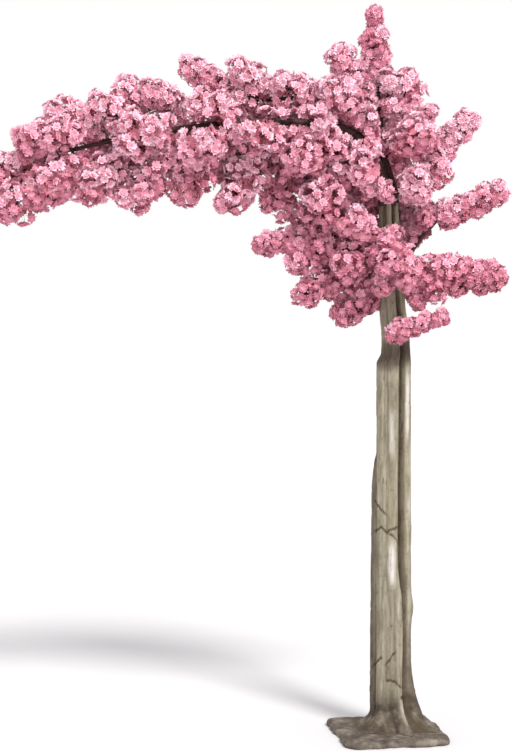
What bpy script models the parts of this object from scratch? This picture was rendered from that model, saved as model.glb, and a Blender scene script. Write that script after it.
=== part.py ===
"""Half-arch artificial cherry blossom tree: a moulded foot, a bundled trunk, wired limbs and blossom.

The trunk is seven poles moulded together. It stands on a flat moulded foot, and toes of its root flare run
out over the foot. Limbs leave the trunk's top and sides. The longest run level to -X as half of an arch.
Sprays of blossom stand all round the limbs: each is a stem, a dense core of hidden flowers and the outer
flowers.

Metres, +Z up. The origin is on the foot's underside, below the trunk. +X is away from the arch and -Y is
the front.
"""

import math
import random
from bisect import bisect_left
from dataclasses import dataclass, field

import bmesh
import bpy
from mathutils import Matrix, Vector
from mathutils.bvhtree import BVHTree

# Overall sizes. The whole tree is TREE_HEIGHT tall, and the spire's tip is what reaches it.
TREE_HEIGHT = 2.50
GAP = 0.0003
WALL_STEP = 1e-5
GOLDEN_ANGLE = math.pi * (3.0 - math.sqrt(5.0))
SEED = 7

# Foot: a flat moulded plate, a little nearer the arch than the trunk is.
FOOT_SIZE = (0.365, 0.375)
FOOT_CENTRE = (-0.0225, -0.0375)
FOOT_CORNER = 0.045
FOOT_THICK = 0.022
FOOT_WAVE = 0.003
FOOT_CORNER_STEPS = 5
FOOT_SIDE_STEPS = 3

# Its rings from the underside up, as (height, inset): sheer at the edge, then rounded over to the top.
FOOT_LAYERS = ((0.0, 0.003), (0.004, 0.0), (0.013, 0.0), (FOOT_THICK - 0.002, 0.009), (FOOT_THICK, 0.020))

# Trunk: seven poles on a ring, as (angle in degrees, turn by the foot, radius, radius at the foot). The
# moulding ends at the collar, and the poles draw together above it.
POLES = (
    (-37, 12, 0.0255, 0.0245),
    (-105, 19, 0.0250, 0.0280),
    (-162, 24, 0.0265, 0.0250),
    (175, 0, 0.0160, 0.0250),
    (120, 0, 0.0245, 0.0245),
    (66, 0, 0.0250, 0.0250),
    (10, 0, 0.0245, 0.0245),
)
POLES_TURN = (0.45, 1.00)
POLE_RING = 0.048
POLE_FILLER = 0.040
TRUNK_FOOT = FOOT_THICK + GAP
TRUNK_TOP = 1.830
SEAT_GAP = 0.0005
SEAT_LEAN = 0.045
COLLAR = (1.280, 1.320)
COLLAR_SCALE = 0.845
TOP_SCALE = 0.590

# Its middle leans and sways a little, steps aside at the collar, and it is stouter below.
TOP_LEAN = -0.018
FOOT_LEAN = -0.005
COLLAR_STEP = 0.0075
STEP_BACK = (1.36, 1.49)
SWAY = (0.003, 0.004)
SLENDER = 0.865
SWELL = 0.008
STOUT = 0.110
STOUT_BELOW = (0.82, 1.02)
TRUNK_SIDES = 42
TRUNK_RINGS_FLARE = 6
TRUNK_RINGS_POLES = 5
FLARE_CROWDING = 1.7

# Root flare: toes that run out over the foot, as (angle, reach past the poles, half width, height, hollow).
# Angles and half widths are in degrees.
TOES = (
    (-12, 0.064, 34, 0.280, 2.5),
    (-45, 0.125, 24, 0.130, 3.4),
    (-77, 0.095, 17, 0.150, 3.0),
    (-115, 0.070, 24, 0.110, 3.6),
    (-150, 0.100, 28, 0.085, 3.6),
    (168, 0.105, 26, 0.070, 3.6),
    (112, 0.068, 28, 0.110, 3.6),
    (50, 0.090, 28, 0.150, 3.2),
)
TOE_SPREAD = 1.1

# Blossom: a five-petalled open cup whose stalk is sunk in the core. Each stands for a tuft of real ones.
# A proud one stands off the core on a twig of its own.
PETALS = 5
PETAL_NOTCH = 0.58
PETAL_LIFT = 0.16
NOTCH_LIFT = 0.02
PETAL_THICK = 0.12
STALK_SIDES = 3
STALK_RADIUS = 0.006
BLOSSOM_SHARE = 0.70
BLOSSOM_RADIUS = (0.028, 0.050)
BLOSSOM_STAND = (0.007, 0.015)
STALK_SINK = 0.010
BLOSSOM_SPACING = 2.70
BLOSSOM_SIZES = (0.86, 1.12)
BLOSSOM_TRIES = 6
BLOSSOM_SHRINK = 0.07
BLOSSOM_SCATTER = 0.4
SKIN_FACING = 0.7
OUTSIDE = 0.4
PROUD_EVERY = 5
PROUD_STAND = 0.024
PROUD_SIZE = 0.82
PROUD_DEPTH = 0.014
TWIG_RADIUS = 0.0032
TWIG_SHORT = 0.004

# Sprays: a stem, a core round its outer part, and blossoms that reach the spray's girth.
STEM_RADII = (0.0055, 0.0055, 0.0035, 0.0035)
CORE_SHARE = 0.76
CORE_SIDES = 6
CORE_RINGS = (3, 5)
CORE_START = 0.15
CORE_CLEAR = 0.0025
CORE_TIP = 0.85
CORE_LUMPS = (0.84, 1.14)
CORE_DENTS = (0.88, 1.10)
CORE_PRESSES = 24
CORE_PRESS = 0.91
CORE_MOVES = 40
CORE_MOVE = 0.010
STATION_MOVE = 0.03
STEM_SHARES = (0.0, 0.12, 0.27, 0.50)
STEM_MOVES = 30
SLIM_SHARE = 0.60
SLIM_RANGE = (0.05, 0.40)
TAPER_RANGE = (0.35, 1.0)
ELBOW = 0.38
CLEARANCE = 0.0012

# Steps along lines, and the dye of a spray's silk by the height of its tip.
PATH_STEPS = 10
LIMB_STEPS = 80
NEAR_STATION = 0.012
LEAN_ALONG = 0.35
LEAN_UP = 0.25
UP = (0.0, 0.0, 1.0)
PALE_ABOVE = 2.095
ROSE_BELOW = 1.80
FRONT = -0.09
BEHIND = 0.08


def smoothstep(low, high, value):
    """0 below low, 1 above high, and a smooth ramp between."""
    t = min(1.0, max(0.0, (value - low) / (high - low)))
    return t * t * (3.0 - 2.0 * t)


def polar(angle, radius, z=0.0):
    """A point at that angle in degrees and distance from the Z axis."""
    return Vector((radius * math.cos(math.radians(angle)), radius * math.sin(math.radians(angle)), z))


@dataclass
class Shape:
    """A closed surface: its points and its faces, which face outwards."""

    points: list = field(default_factory=list)
    faces: list = field(default_factory=list)

    def scaled_about_middle(self, factor):
        """The same shape, larger or smaller about the middle of its points."""
        middle = sum(self.points, Vector()) / len(self.points)
        return Shape([middle + (p - middle) * factor for p in self.points], self.faces)

    def tree(self):
        """A search tree of the shape's faces."""
        return BVHTree.FromPolygons(self.points, self.faces)

    def corners(self):
        """The lowest and highest corner of the shape's box."""
        low = Vector(min(p[i] for p in self.points) for i in range(3))
        high = Vector(max(p[i] for p in self.points) for i in range(3))
        return low, high


def inside(tree, point):
    """Whether a point is within a closed surface, by counting the walls on the way out."""
    way = Vector((0.31, 0.17, 0.93)).normalized()
    hits = 0
    found = tree.ray_cast(point, way)[0]
    while found is not None:
        hits += 1
        found = tree.ray_cast(found + way * WALL_STEP, way)[0]
    return hits % 2 == 1


class Crowd:
    """Everything that already stands in the crown, so that each new shape keeps clear of the other nodes."""

    def __init__(self):
        self.items = []

    def add(self, node, shape):
        """Records a shape as part of that node."""
        self.items.append((node, shape.tree(), *shape.corners(), shape.points[0]))

    def forget(self, node):
        """Takes back what was recorded for a node."""
        self.items = [item for item in self.items if item[0] != node]

    def crowds(self, node, point, clear):
        """Whether a point lies in another node, or nearer to one than the clear distance."""
        for other, tree, low, high, _ in self.items:
            apart = any(point[i] < low[i] - clear or point[i] > high[i] + clear for i in range(3))
            if other == node or apart:
                continue
            if tree.find_nearest(point, clear)[0] is not None or inside(tree, point):
                return True
        return False

    def blocks(self, node, shape):
        """The node that the shape comes within the clearance of, or None."""
        low, high = shape.corners()
        size = max(high - low)
        grown = shape.scaled_about_middle(1.0 + 2.0 * CLEARANCE / size)
        low, high = grown.corners()
        tree = grown.tree()
        for other, other_tree, other_low, other_high, other_point in self.items:
            if other == node or any(low[i] > other_high[i] or high[i] < other_low[i] for i in range(3)):
                continue
            if tree.overlap(other_tree) or inside(other_tree, grown.points[0]) or inside(tree, other_point):
                return other
        return None


# ---------------------------------------------------------------- curves and tubes


def catmull(points, t):
    """A point on the smooth curve through the given points, for t from 0 to 1."""
    spans = len(points) - 1
    i = min(int(t * spans), spans - 1)
    u = t * spans - i
    before = points[i - 1] if i > 0 else points[i] * 2 - points[i + 1]
    after = points[i + 2] if i + 2 <= spans else points[i + 1] * 2 - points[i]
    a, b = points[i], points[i + 1]
    return 0.5 * (
        2 * a
        + (b - before) * u
        + (2 * before - 5 * a + 4 * b - after) * u**2
        + (3 * a - before - 3 * b + after) * u**3
    )


def frames_along(path, ways=None):
    """Two directions across the path at each of its points, carried along without twist."""
    frames = []
    across = None
    for i in range(len(path)):
        way = ways[i] if ways else (path[min(i + 1, len(path) - 1)] - path[max(i - 1, 0)]).normalized()
        if across is None:
            across = way.orthogonal().normalized()
        across = (across - way * across.dot(way)).normalized()
        frames.append((across, way.cross(across)))
    return frames


def tube(path, radii, sides, ways=None):
    """A tapering tube along a path, with flat ends."""
    points = []
    for middle, radius, (u, v) in zip(path, radii, frames_along(path, ways)):
        for k in range(sides):
            angle = 2 * math.pi * k / sides
            points.append(middle + (u * math.cos(angle) + v * math.sin(angle)) * radius)
    return Shape(points, ring_faces(len(path), sides))


def ring_faces(rings, sides):
    """Faces of a stack of rings, with both ends closed."""
    faces = [tuple(reversed(range(sides)))]
    for i in range(rings - 1):
        for k in range(sides):
            a, b = i * sides + k, i * sides + (k + 1) % sides
            faces.append((a, b, b + sides, a + sides))
    last = (rings - 1) * sides
    faces.append(tuple(range(last, last + sides)))
    return faces


def pod(path, radii, sides):
    """A closed body along a path that narrows to a point at each end."""
    middle = tube(path[1:-1], radii, sides)
    rings = len(path) - 2
    points = [path[0]] + middle.points + [path[-1]]
    faces = [(0, 1 + (k + 1) % sides, 1 + k) for k in range(sides)]
    faces += [tuple(1 + i for i in face) for face in middle.faces[1:-1]]
    last = 1 + (rings - 1) * sides
    faces += [(len(points) - 1, last + k, last + (k + 1) % sides) for k in range(sides)]
    return Shape(points, faces)


# ---------------------------------------------------------------- trunk and foot


def trunk_axis(z):
    """The trunk's middle at a height: nearly plumb, with the slight sway of a hand-made bundle."""
    lean = TOP_LEAN * smoothstep(COLLAR[0], TRUNK_TOP, z) + FOOT_LEAN * (1.0 - smoothstep(*STOUT_BELOW, z))
    lean += COLLAR_STEP * (smoothstep(*COLLAR, z) - smoothstep(*STEP_BACK, z))
    return Vector((lean + SWAY[0] * math.sin(math.pi * z / TRUNK_TOP), SWAY[1] * math.sin(2 * z), z))


def bundle_scale(z):
    """How wide the bundle is at a height, as a share of its width below the collar."""
    swell = SLENDER + SWELL * math.sin(5.3 * z + 0.8) + STOUT * (1.0 - smoothstep(*STOUT_BELOW, z))
    if z <= COLLAR[0]:
        return swell
    gathered = 1.0 + (COLLAR_SCALE - 1.0) * smoothstep(*COLLAR, z)
    above = max(0.0, (z - COLLAR[1]) / (TRUNK_TOP - COLLAR[1]))
    return gathered * swell + (TOP_SCALE - COLLAR_SCALE) * above


def bundle_radius(angle, z):
    """The outline of the seven poles and the filler between them, at an angle in degrees and a height."""
    reach = POLE_FILLER
    below = 1.0 - smoothstep(*POLES_TURN, z)
    for stands, turn, slim, stout in POLES:
        away = math.radians(angle - stands - turn * below)
        radius = slim + (stout - slim) * below
        off_line = POLE_RING * math.sin(away)
        if math.cos(away) > 0 and abs(off_line) < radius:
            reach = max(reach, POLE_RING * math.cos(away) + math.sqrt(radius**2 - off_line**2))
    return reach


def toe_reach(angle, z):
    """How far the root flare stands out past the poles, at an angle and a height."""
    reach = 0.0
    for toe_angle, toe_length, half_width, height, hollow in TOES:
        away = abs((angle - toe_angle + 180) % 360 - 180) / half_width
        rise = (z - TRUNK_FOOT) / height
        if rise < 1.0:
            spread = math.exp(-TOE_SPREAD * away**2)
            reach = max(reach, toe_length * spread * (1.0 - rise) ** hollow)
    return reach


def trunk_point(angle, z):
    """A point on the trunk's surface."""
    radius = bundle_radius(angle, z) * bundle_scale(z) + toe_reach(angle, z)
    return trunk_axis(z) + polar(angle, radius)


def trunk_shape():
    """The trunk from its flat cut on the foot to its flat top, where the limbs leave it."""
    flare = max(height for _, _, _, height, _ in TOES)
    flare_top = TRUNK_FOOT + flare
    shares = [(i / TRUNK_RINGS_FLARE) ** FLARE_CROWDING for i in range(TRUNK_RINGS_FLARE)]
    heights = [TRUNK_FOOT + flare * share for share in shares]
    step = (COLLAR[0] - flare_top) / TRUNK_RINGS_POLES
    heights += [flare_top + step * i for i in range(TRUNK_RINGS_POLES + 1)]
    above = (TRUNK_TOP - COLLAR[1]) / 3
    heights += [COLLAR[1] + above * i for i in range(4)]
    points = []
    for z in heights:
        points += [trunk_point(360.0 * k / TRUNK_SIDES, z) for k in range(TRUNK_SIDES)]
    return Shape(points, ring_faces(len(heights), TRUNK_SIDES))


def foot_outline(inset):
    """The foot's rounded outline, drawn in by an inset, with the slight wave of a hand-laid moulding."""
    across, along = [size / 2 - FOOT_CORNER for size in FOOT_SIZE]
    corner = FOOT_CORNER - inset
    middles = [Vector((across * x, along * y, 0)) for x, y in ((1, 1), (-1, 1), (-1, -1), (1, -1))]
    outline = []
    for quarter, middle in enumerate(middles):
        turns = [90 * (quarter + k / FOOT_CORNER_STEPS) for k in range(FOOT_CORNER_STEPS + 1)]
        outline += [middle + polar(turn, corner) for turn in turns]
        start = middles[(quarter + 1) % 4] + polar(turns[-1], corner)
        shares = [(k + 1) / (FOOT_SIDE_STEPS + 1) for k in range(FOOT_SIDE_STEPS)]
        outline += [outline[-1].lerp(start, share) for share in shares]
    wavy = []
    for point in outline:
        angle = math.atan2(point.y, point.x)
        wave = 1.0 + FOOT_WAVE * (math.sin(5 * angle + 1.0) + math.sin(9 * angle)) / point.length
        wavy.append(point * wave + Vector((*FOOT_CENTRE, 0)))
    return wavy


def foot_shape():
    """The foot: a plate with a flat underside, a rounded edge and a flat top for the trunk."""
    points = []
    for z, inset in FOOT_LAYERS:
        points += [Vector((p.x, p.y, z)) for p in foot_outline(inset)]
    return Shape(points, ring_faces(len(FOOT_LAYERS), len(points) // len(FOOT_LAYERS)))


# ---------------------------------------------------------------- limbs


@dataclass
class Limb:
    """One tapering limb: its line, its radius at each end, and its share of a line that it splits."""

    name: str
    line: tuple
    thick: float
    thin: float
    sides: int = 7
    rings: int = 9
    share: tuple = (0.0, 1.0)
    seat: tuple = None

    def __post_init__(self):
        """Walks the line once, so that stations go by length."""
        line = [Vector(p) for p in self.line]
        self.walk = [catmull(line, i / LIMB_STEPS) for i in range(LIMB_STEPS + 1)]
        self.lengths = [0.0]
        for a, b in zip(self.walk, self.walk[1:]):
            self.lengths.append(self.lengths[-1] + (b - a).length)

    def at(self, whole):
        """A point on the whole line, for a share of its length."""
        wanted = min(1.0, max(0.0, whole)) * self.lengths[-1]
        i = min(max(1, bisect_left(self.lengths, wanted)), len(self.lengths) - 1)
        part = (wanted - self.lengths[i - 1]) / (self.lengths[i] - self.lengths[i - 1])
        return self.walk[i - 1].lerp(self.walk[i], part)

    def whole(self, station):
        """The share of the whole line that a station lies at, past the gap to the limb before."""
        start = self.share[0] + (GAP / self.lengths[-1] if self.share[0] > 0 else 0.0)
        return start + (self.share[1] - start) * station

    def point(self, station):
        """The middle of the limb at a station from 0, its root, to 1, its tip."""
        return self.at(self.whole(station))

    def radius(self, station):
        """The limb's radius at a station."""
        return self.thick + (self.thin - self.thick) * station

    def way(self, station):
        """The direction that the limb grows in at a station. At its seat it faces what it stands on."""
        if station == 0.0 and self.seat:
            return Vector(self.seat).normalized()
        whole = self.whole(station)
        return (self.at(whole + NEAR_STATION) - self.at(whole - NEAR_STATION)).normalized()

    def root_towards(self, station, target):
        """A point on the limb's bark at a station, on the side of the target, and the way out from it."""
        middle, way = self.point(station), self.way(station)
        out = target - middle
        if station < 1.0:
            out -= way * out.dot(way)
            out = (out.normalized() + way * LEAN_ALONG).normalized()
        else:
            out = way
        return middle + out * (self.radius(station) + GAP), out

    def shape(self):
        """The limb as a closed tube."""
        stations = [i / (self.rings - 1) for i in range(self.rings)]
        ways = [self.way(s) for s in stations]
        return tube([self.point(s) for s in stations], [self.radius(s) for s in stations], self.sides, ways)


@dataclass
class TrunkSide:
    """The trunk as a carrier: a station on it is a height."""

    name: str = "trunk"

    def root_towards(self, height, target):
        """A point on the trunk at a height, on the side of the target, and the way out from it."""
        away = target - trunk_axis(height)
        angle = math.degrees(math.atan2(away.y, away.x))
        out = polar(angle, 1.0)
        return trunk_point(angle, height) + out * GAP, (out + Vector(UP) * LEAN_UP).normalized()


def top_seat(angle, off, z=TRUNK_TOP + GAP):
    """A place on the trunk's flat top, off its middle."""
    middle = trunk_axis(TRUNK_TOP)
    return tuple(Vector((middle.x, middle.y, z)) + polar(angle, off))


def side_seat(angle, height, out=0.0):
    """A place that far out from where a limb sits on the trunk's side."""
    return tuple(trunk_point(angle, height) + polar(angle, out + SEAT_GAP))


def side_way(angle):
    """The way out from the trunk's side, which leans in as it rises."""
    return tuple(polar(angle, 1.0, SEAT_LEAN))


ARCH_LINE = (
    top_seat(200, 0.017), top_seat(200, 0.020, 1.87), (-0.064, -0.012, 1.975), (-0.166, -0.02, 2.072),
    (-0.39, -0.02, 2.098), (-0.62, -0.01, 2.086), (-0.87, 0.0, 2.050), (-1.13, 0.0, 1.990),
)
ARCH_BEND = 0.26
UPPER_LINE = (
    top_seat(95, 0.021), top_seat(95, 0.024, 1.88), (-0.070, 0.055, 2.10), (-0.226, 0.07, 2.18),
    (-0.54, 0.07, 2.178), (-0.86, 0.06, 2.138),
)
LEADER_LINE = (top_seat(10, 0.021), top_seat(10, 0.020, 1.88), (-0.035, 0.0, 2.01), (-0.057, 0.0, 2.225))
RIGHT_HIGH_LINE = (
    top_seat(-65, 0.023), top_seat(-60, 0.026, 1.855), (0.045, -0.022, 1.887), (0.100, -0.008, 1.945),
)
RIGHT_MID_LINE = (
    side_seat(10, 1.60), side_seat(10, 1.61, 0.0175), (0.082, 0.020, 1.685), (0.150, 0.0, 1.768),
)
LEFT_LINE = (
    side_seat(200, 1.700), side_seat(200, 1.704, 0.0175), (-0.16, -0.020, 1.735), (-0.255, -0.005, 1.722),
)

LIMBS = (
    # The arch's main limb, split at the bend over the way through.
    Limb("arch_rise", ARCH_LINE, 0.0165, 0.0150, share=(0.0, ARCH_BEND), seat=UP),
    Limb("arch_span", ARCH_LINE, 0.0150, 0.0060, 7, 12, (ARCH_BEND, 1.0)),
    # A second limb over it, set back.
    Limb("arch_upper", UPPER_LINE, 0.0115, 0.0050, 6, 13, seat=UP),
    Limb("leader", LEADER_LINE, 0.0115, 0.0065, 6, 8, seat=UP),
    Limb("limb_right_high", RIGHT_HIGH_LINE, 0.0085, 0.0060, 6, 8, seat=UP),
    Limb("limb_right_mid", RIGHT_MID_LINE, 0.0080, 0.0055, 6, 8, seat=side_way(10)),
    Limb("limb_left", LEFT_LINE, 0.0105, 0.0070, 6, 8, seat=side_way(200)),
)
CARRIERS = {limb.name: limb for limb in LIMBS} | {"trunk": TrunkSide()}


# ---------------------------------------------------------------- sprays of blossom


@dataclass
class Spray:
    """One mass of blossom: what it grows from and where, the middle of its last lump, girth and droop.

    Slim is its girth at the bark, as a share of the full one. A side in degrees roots it there on the trunk.
    Without one it leaves on the side that it grows to.
    """

    name: str
    carrier: str
    station: float
    tip: tuple
    girth: float
    sag: float = 0.0
    slim: float = SLIM_SHARE
    side: float = None

    @property
    def node(self):
        """The name of the spray's node."""
        return f"blossom_{self.name}"

    @property
    def silk(self):
        """The dye of its silk: pale on the crests and in front, rose behind and in the collar."""
        _, back, height = self.tip
        if height < ROSE_BELOW or back > BEHIND:
            return "silk_rose"
        return "silk_pale" if height > PALE_ABOVE or back < FRONT else "silk_mid"

    def girth_at(self, t):
        """Its girth along its stem."""
        span = SLIM_RANGE if self.slim < 1.0 else TAPER_RANGE
        return self.girth * (self.slim + (1.0 - self.slim) * smoothstep(*span, t))

    def path(self):
        """Points along the stem, from the bark out to the spray's last lump."""
        tip = Vector(self.tip)
        aim = tip if self.side is None else trunk_axis(self.station) + polar(self.side, 1.0)
        root, out = CARRIERS[self.carrier].root_towards(self.station, aim)
        reach = (tip - root).length
        elbow = root + out * reach * ELBOW
        drop = Vector((0, 0, -self.sag * reach))
        line = []
        for i in range(PATH_STEPS + 1):
            t = i / PATH_STEPS
            line.append((1 - t) ** 2 * root + 2 * t * (1 - t) * (elbow + drop) + t**2 * tip)
        return line


SPRAYS = (
    # The arch's free end, which droops.
    Spray("tip_hook", "arch_span", 0.96, (-1.31, -0.03, 1.820), 0.089, 0.05),
    Spray("tip_nose", "arch_span", 1.00, (-1.375, 0.05, 1.895), 0.076),
    Spray("tip_crest", "arch_span", 0.91, (-1.240, -0.05, 2.022), 0.077),
    # Crests above the limb, from the free end to the crown.
    Spray("crest_far", "arch_span", 0.84, (-1.140, 0.03, 2.112), 0.072),
    Spray("crest_mid", "arch_span", 0.73, (-1.000, -0.04, 2.135), 0.078),
    Spray("crest_peak", "arch_upper", 0.97, (-0.91, 0.03, 2.190), 0.072),
    Spray("crest_near", "arch_upper", 0.90, (-0.822, -0.03, 2.190), 0.064),
    Spray("crest_low", "arch_span", 0.38, (-0.67, -0.07, 2.145), 0.080),
    Spray("knob", "arch_upper", 0.72, (-0.70, 0.01, 2.275), 0.055),
    Spray("crest_high", "arch_upper", 0.60, (-0.528, 0.01, 2.262), 0.072),
    Spray("shoulder_top", "arch_upper", 0.46, (-0.39, -0.02, 2.212), 0.078),
    # Cheeks on the front of the arch.
    Spray("cheek_far", "arch_span", 0.62, (-0.92, -0.10, 2.03), 0.084),
    Spray("cheek_mid", "arch_span", 0.38, (-0.69, -0.115, 2.02), 0.084),
    Spray("cheek_near", "arch_span", 0.17, (-0.50, -0.12, 2.05), 0.084),
    Spray("shoulder_mid", "arch_span", 0.05, (-0.31, -0.105, 2.100), 0.068),
    Spray("shoulder_front", "arch_rise", 0.92, (-0.35, -0.125, 1.965), 0.080),
    Spray("shoulder_low", "arch_rise", 0.38, (-0.250, -0.070, 1.885), 0.080),
    # Bellies below it.
    Spray("belly_far", "arch_span", 0.77, (-1.04, -0.03, 1.862), 0.080),
    Spray("belly_mid", "arch_span", 0.59, (-0.88, -0.01, 1.856), 0.083),
    Spray("belly_near", "arch_span", 0.44, (-0.72, -0.03, 1.866), 0.084),
    Spray("belly_close", "arch_span", 0.25, (-0.56, -0.02, 1.840), 0.080),
    Spray("belly_root", "arch_span", 0.10, (-0.405, 0.01, 1.845), 0.088),
    # The back of the arch.
    Spray("back_far", "arch_span", 0.68, (-1.00, 0.11, 1.985), 0.080),
    Spray("back_mid", "arch_span", 0.463, (-0.751, 0.116, 1.983), 0.086),
    Spray("back_near", "arch_span", 0.20, (-0.51, 0.12, 1.985), 0.088),
    Spray("back_shoulder", "arch_upper", 0.36, (-0.30, 0.145, 2.08), 0.090),
    # The crown over the trunk.
    Spray("spire", "leader", 1.00, (-0.070, 0.0, TREE_HEIGHT - 0.036), 0.036, 0.0, 1.70),
    Spray("left_horn", "leader", 0.80, (-0.188, -0.01, 2.320), 0.062),
    Spray("crown_left", "leader", 0.55, (-0.215, -0.07, 2.19), 0.082),
    Spray("crown_right_top", "leader", 0.75, (0.035, -0.03, 2.212), 0.083),
    Spray("crown_right", "leader", 0.40, (0.055, -0.11, 2.05), 0.084),
    Spray("crown_right_low", "limb_right_high", 0.45, (0.038, -0.135, 1.885), 0.078),
    Spray("crown_center", "arch_rise", 0.62, (-0.128, -0.15, 1.925), 0.082),
    Spray("right_lobe", "limb_right_high", 1.00, (0.254, 0.0, 2.108), 0.056),
    Spray("right_lobe_low", "limb_right_high", 0.66, (0.152, -0.036, 1.936), 0.060),
    Spray("back_crown_high", "arch_upper", 0.22, (-0.02, 0.155, 2.15), 0.092),
    Spray("back_crown_low", "trunk", 1.80, (0.03, 0.185, 1.935), 0.090),
    # The collar that hangs round the trunk.
    Spray("collar_left", "limb_left", 0.75, (-0.270, -0.085, 1.830), 0.096),
    Spray("collar_front", "limb_left", 0.30, (-0.165, -0.150, 1.755), 0.070),
    Spray("collar_right", "limb_right_mid", 0.55, (0.118, 0.045, 1.800), 0.060),
    Spray("throat", "trunk", 1.70, (-0.058, -0.152, 1.612), 0.064),
    Spray("throat_left", "trunk", 1.64, (-0.185, -0.10, 1.62), 0.082),
    Spray("throat_right", "trunk", 1.655, (0.010, -0.135, 1.580), 0.068),
    Spray("hang_left", "limb_left", 0.80, (-0.318, -0.02, 1.65), 0.082, 0.06),
    Spray("stray_left", "limb_left", 1.00, (-0.458, 0.0, 1.688), 0.050, 0.0, 0.45),
    Spray("skirt_left", "trunk", 1.57, (-0.300, -0.02, 1.525), 0.070),
    Spray("skirt_low", "trunk", 1.52, (-0.165, 0.00, 1.462), 0.074, 0.12),
    Spray("back_collar", "trunk", 1.70, (-0.13, 0.175, 1.745), 0.090),
    # Long single sprays on the far side from the arch.
    Spray("spray_up", "limb_right_mid", 1.00, (0.360, 0.0, 1.868), 0.055, 0.17, 1.20),
    Spray("spray_out", "trunk", 1.575, (0.340, 0.0, 1.582), 0.063, 0.10, 1.55),
    Spray("spray_low", "trunk", 1.380, (0.143, -0.090, 1.440), 0.036, 0.05, 1.30, -112),
)


def core_shape(spray, rng):
    """The dense middle of a spray, lumpy and smaller than its blossom, and the line its rings stand on."""
    line = spray.path()
    end = line[-1] + (line[-1] - line[-2]).normalized() * spray.girth * CORE_TIP * CORE_SHARE
    reach = (line[-1] - line[0]).length
    rings = max(CORE_RINGS[0], min(CORE_RINGS[1], round(reach / spray.girth)))
    stations = [CORE_START + (1.0 - CORE_START) * (i + 0.45) / (rings - 0.35) for i in range(rings)]
    path = [catmull(line, CORE_START)] + [catmull(line, min(1.0, s)) for s in stations] + [end]
    radii = [spray.girth_at(s) * CORE_SHARE * rng.uniform(*CORE_LUMPS) for s in stations]
    core = pod(path, radii, CORE_SIDES)
    for i, middle in enumerate(path[1:-1]):
        for k in range(1 + i * CORE_SIDES, 1 + (i + 1) * CORE_SIDES):
            core.points[k] = middle.lerp(core.points[k], rng.uniform(*CORE_DENTS))
    return core, path[1:-1]


def blossom_shape(eye, out, radius, depth, spin):
    """A five-petalled open cup facing out, on a thin stalk whose end is that deep behind its eye."""
    turn = out.to_track_quat("Z", "Y").to_matrix() @ Matrix.Rotation(spin, 3, "Z")
    rim = 2 * PETALS
    local = []
    for k in range(rim):
        reach, lift = (1.0, PETAL_LIFT) if k % 2 == 0 else (PETAL_NOTCH, NOTCH_LIFT)
        local.append(polar(360 * k / rim, reach * radius, lift * radius))
    neck = -radius * PETAL_THICK
    for k in range(STALK_SIDES):
        local.append(polar(360 * (k + 0.5) / STALK_SIDES, STALK_RADIUS, neck))
    local.append(Vector((0, 0, -depth)))
    faces = [(k, (k + 1) % rim, (k - 1) % rim) for k in range(0, rim, 2)]
    faces.append(tuple(range(1, rim, 2)))
    nearest = []
    for k in range(rim):
        away = [abs((k / rim - (j + 0.5) / STALK_SIDES + 0.5) % 1.0 - 0.5) for j in range(STALK_SIDES)]
        nearest.append(away.index(min(away)))
    for k in range(rim):
        a, b = nearest[k], nearest[(k + 1) % rim]
        faces.append(((k + 1) % rim, k, rim + a))
        if a != b:
            faces.append(((k + 1) % rim, rim + a, rim + b))
    faces += [(rim + (k + 1) % STALK_SIDES, rim + k, rim + STALK_SIDES) for k in range(STALK_SIDES)]
    return Shape([eye + turn @ p for p in local], faces)


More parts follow.
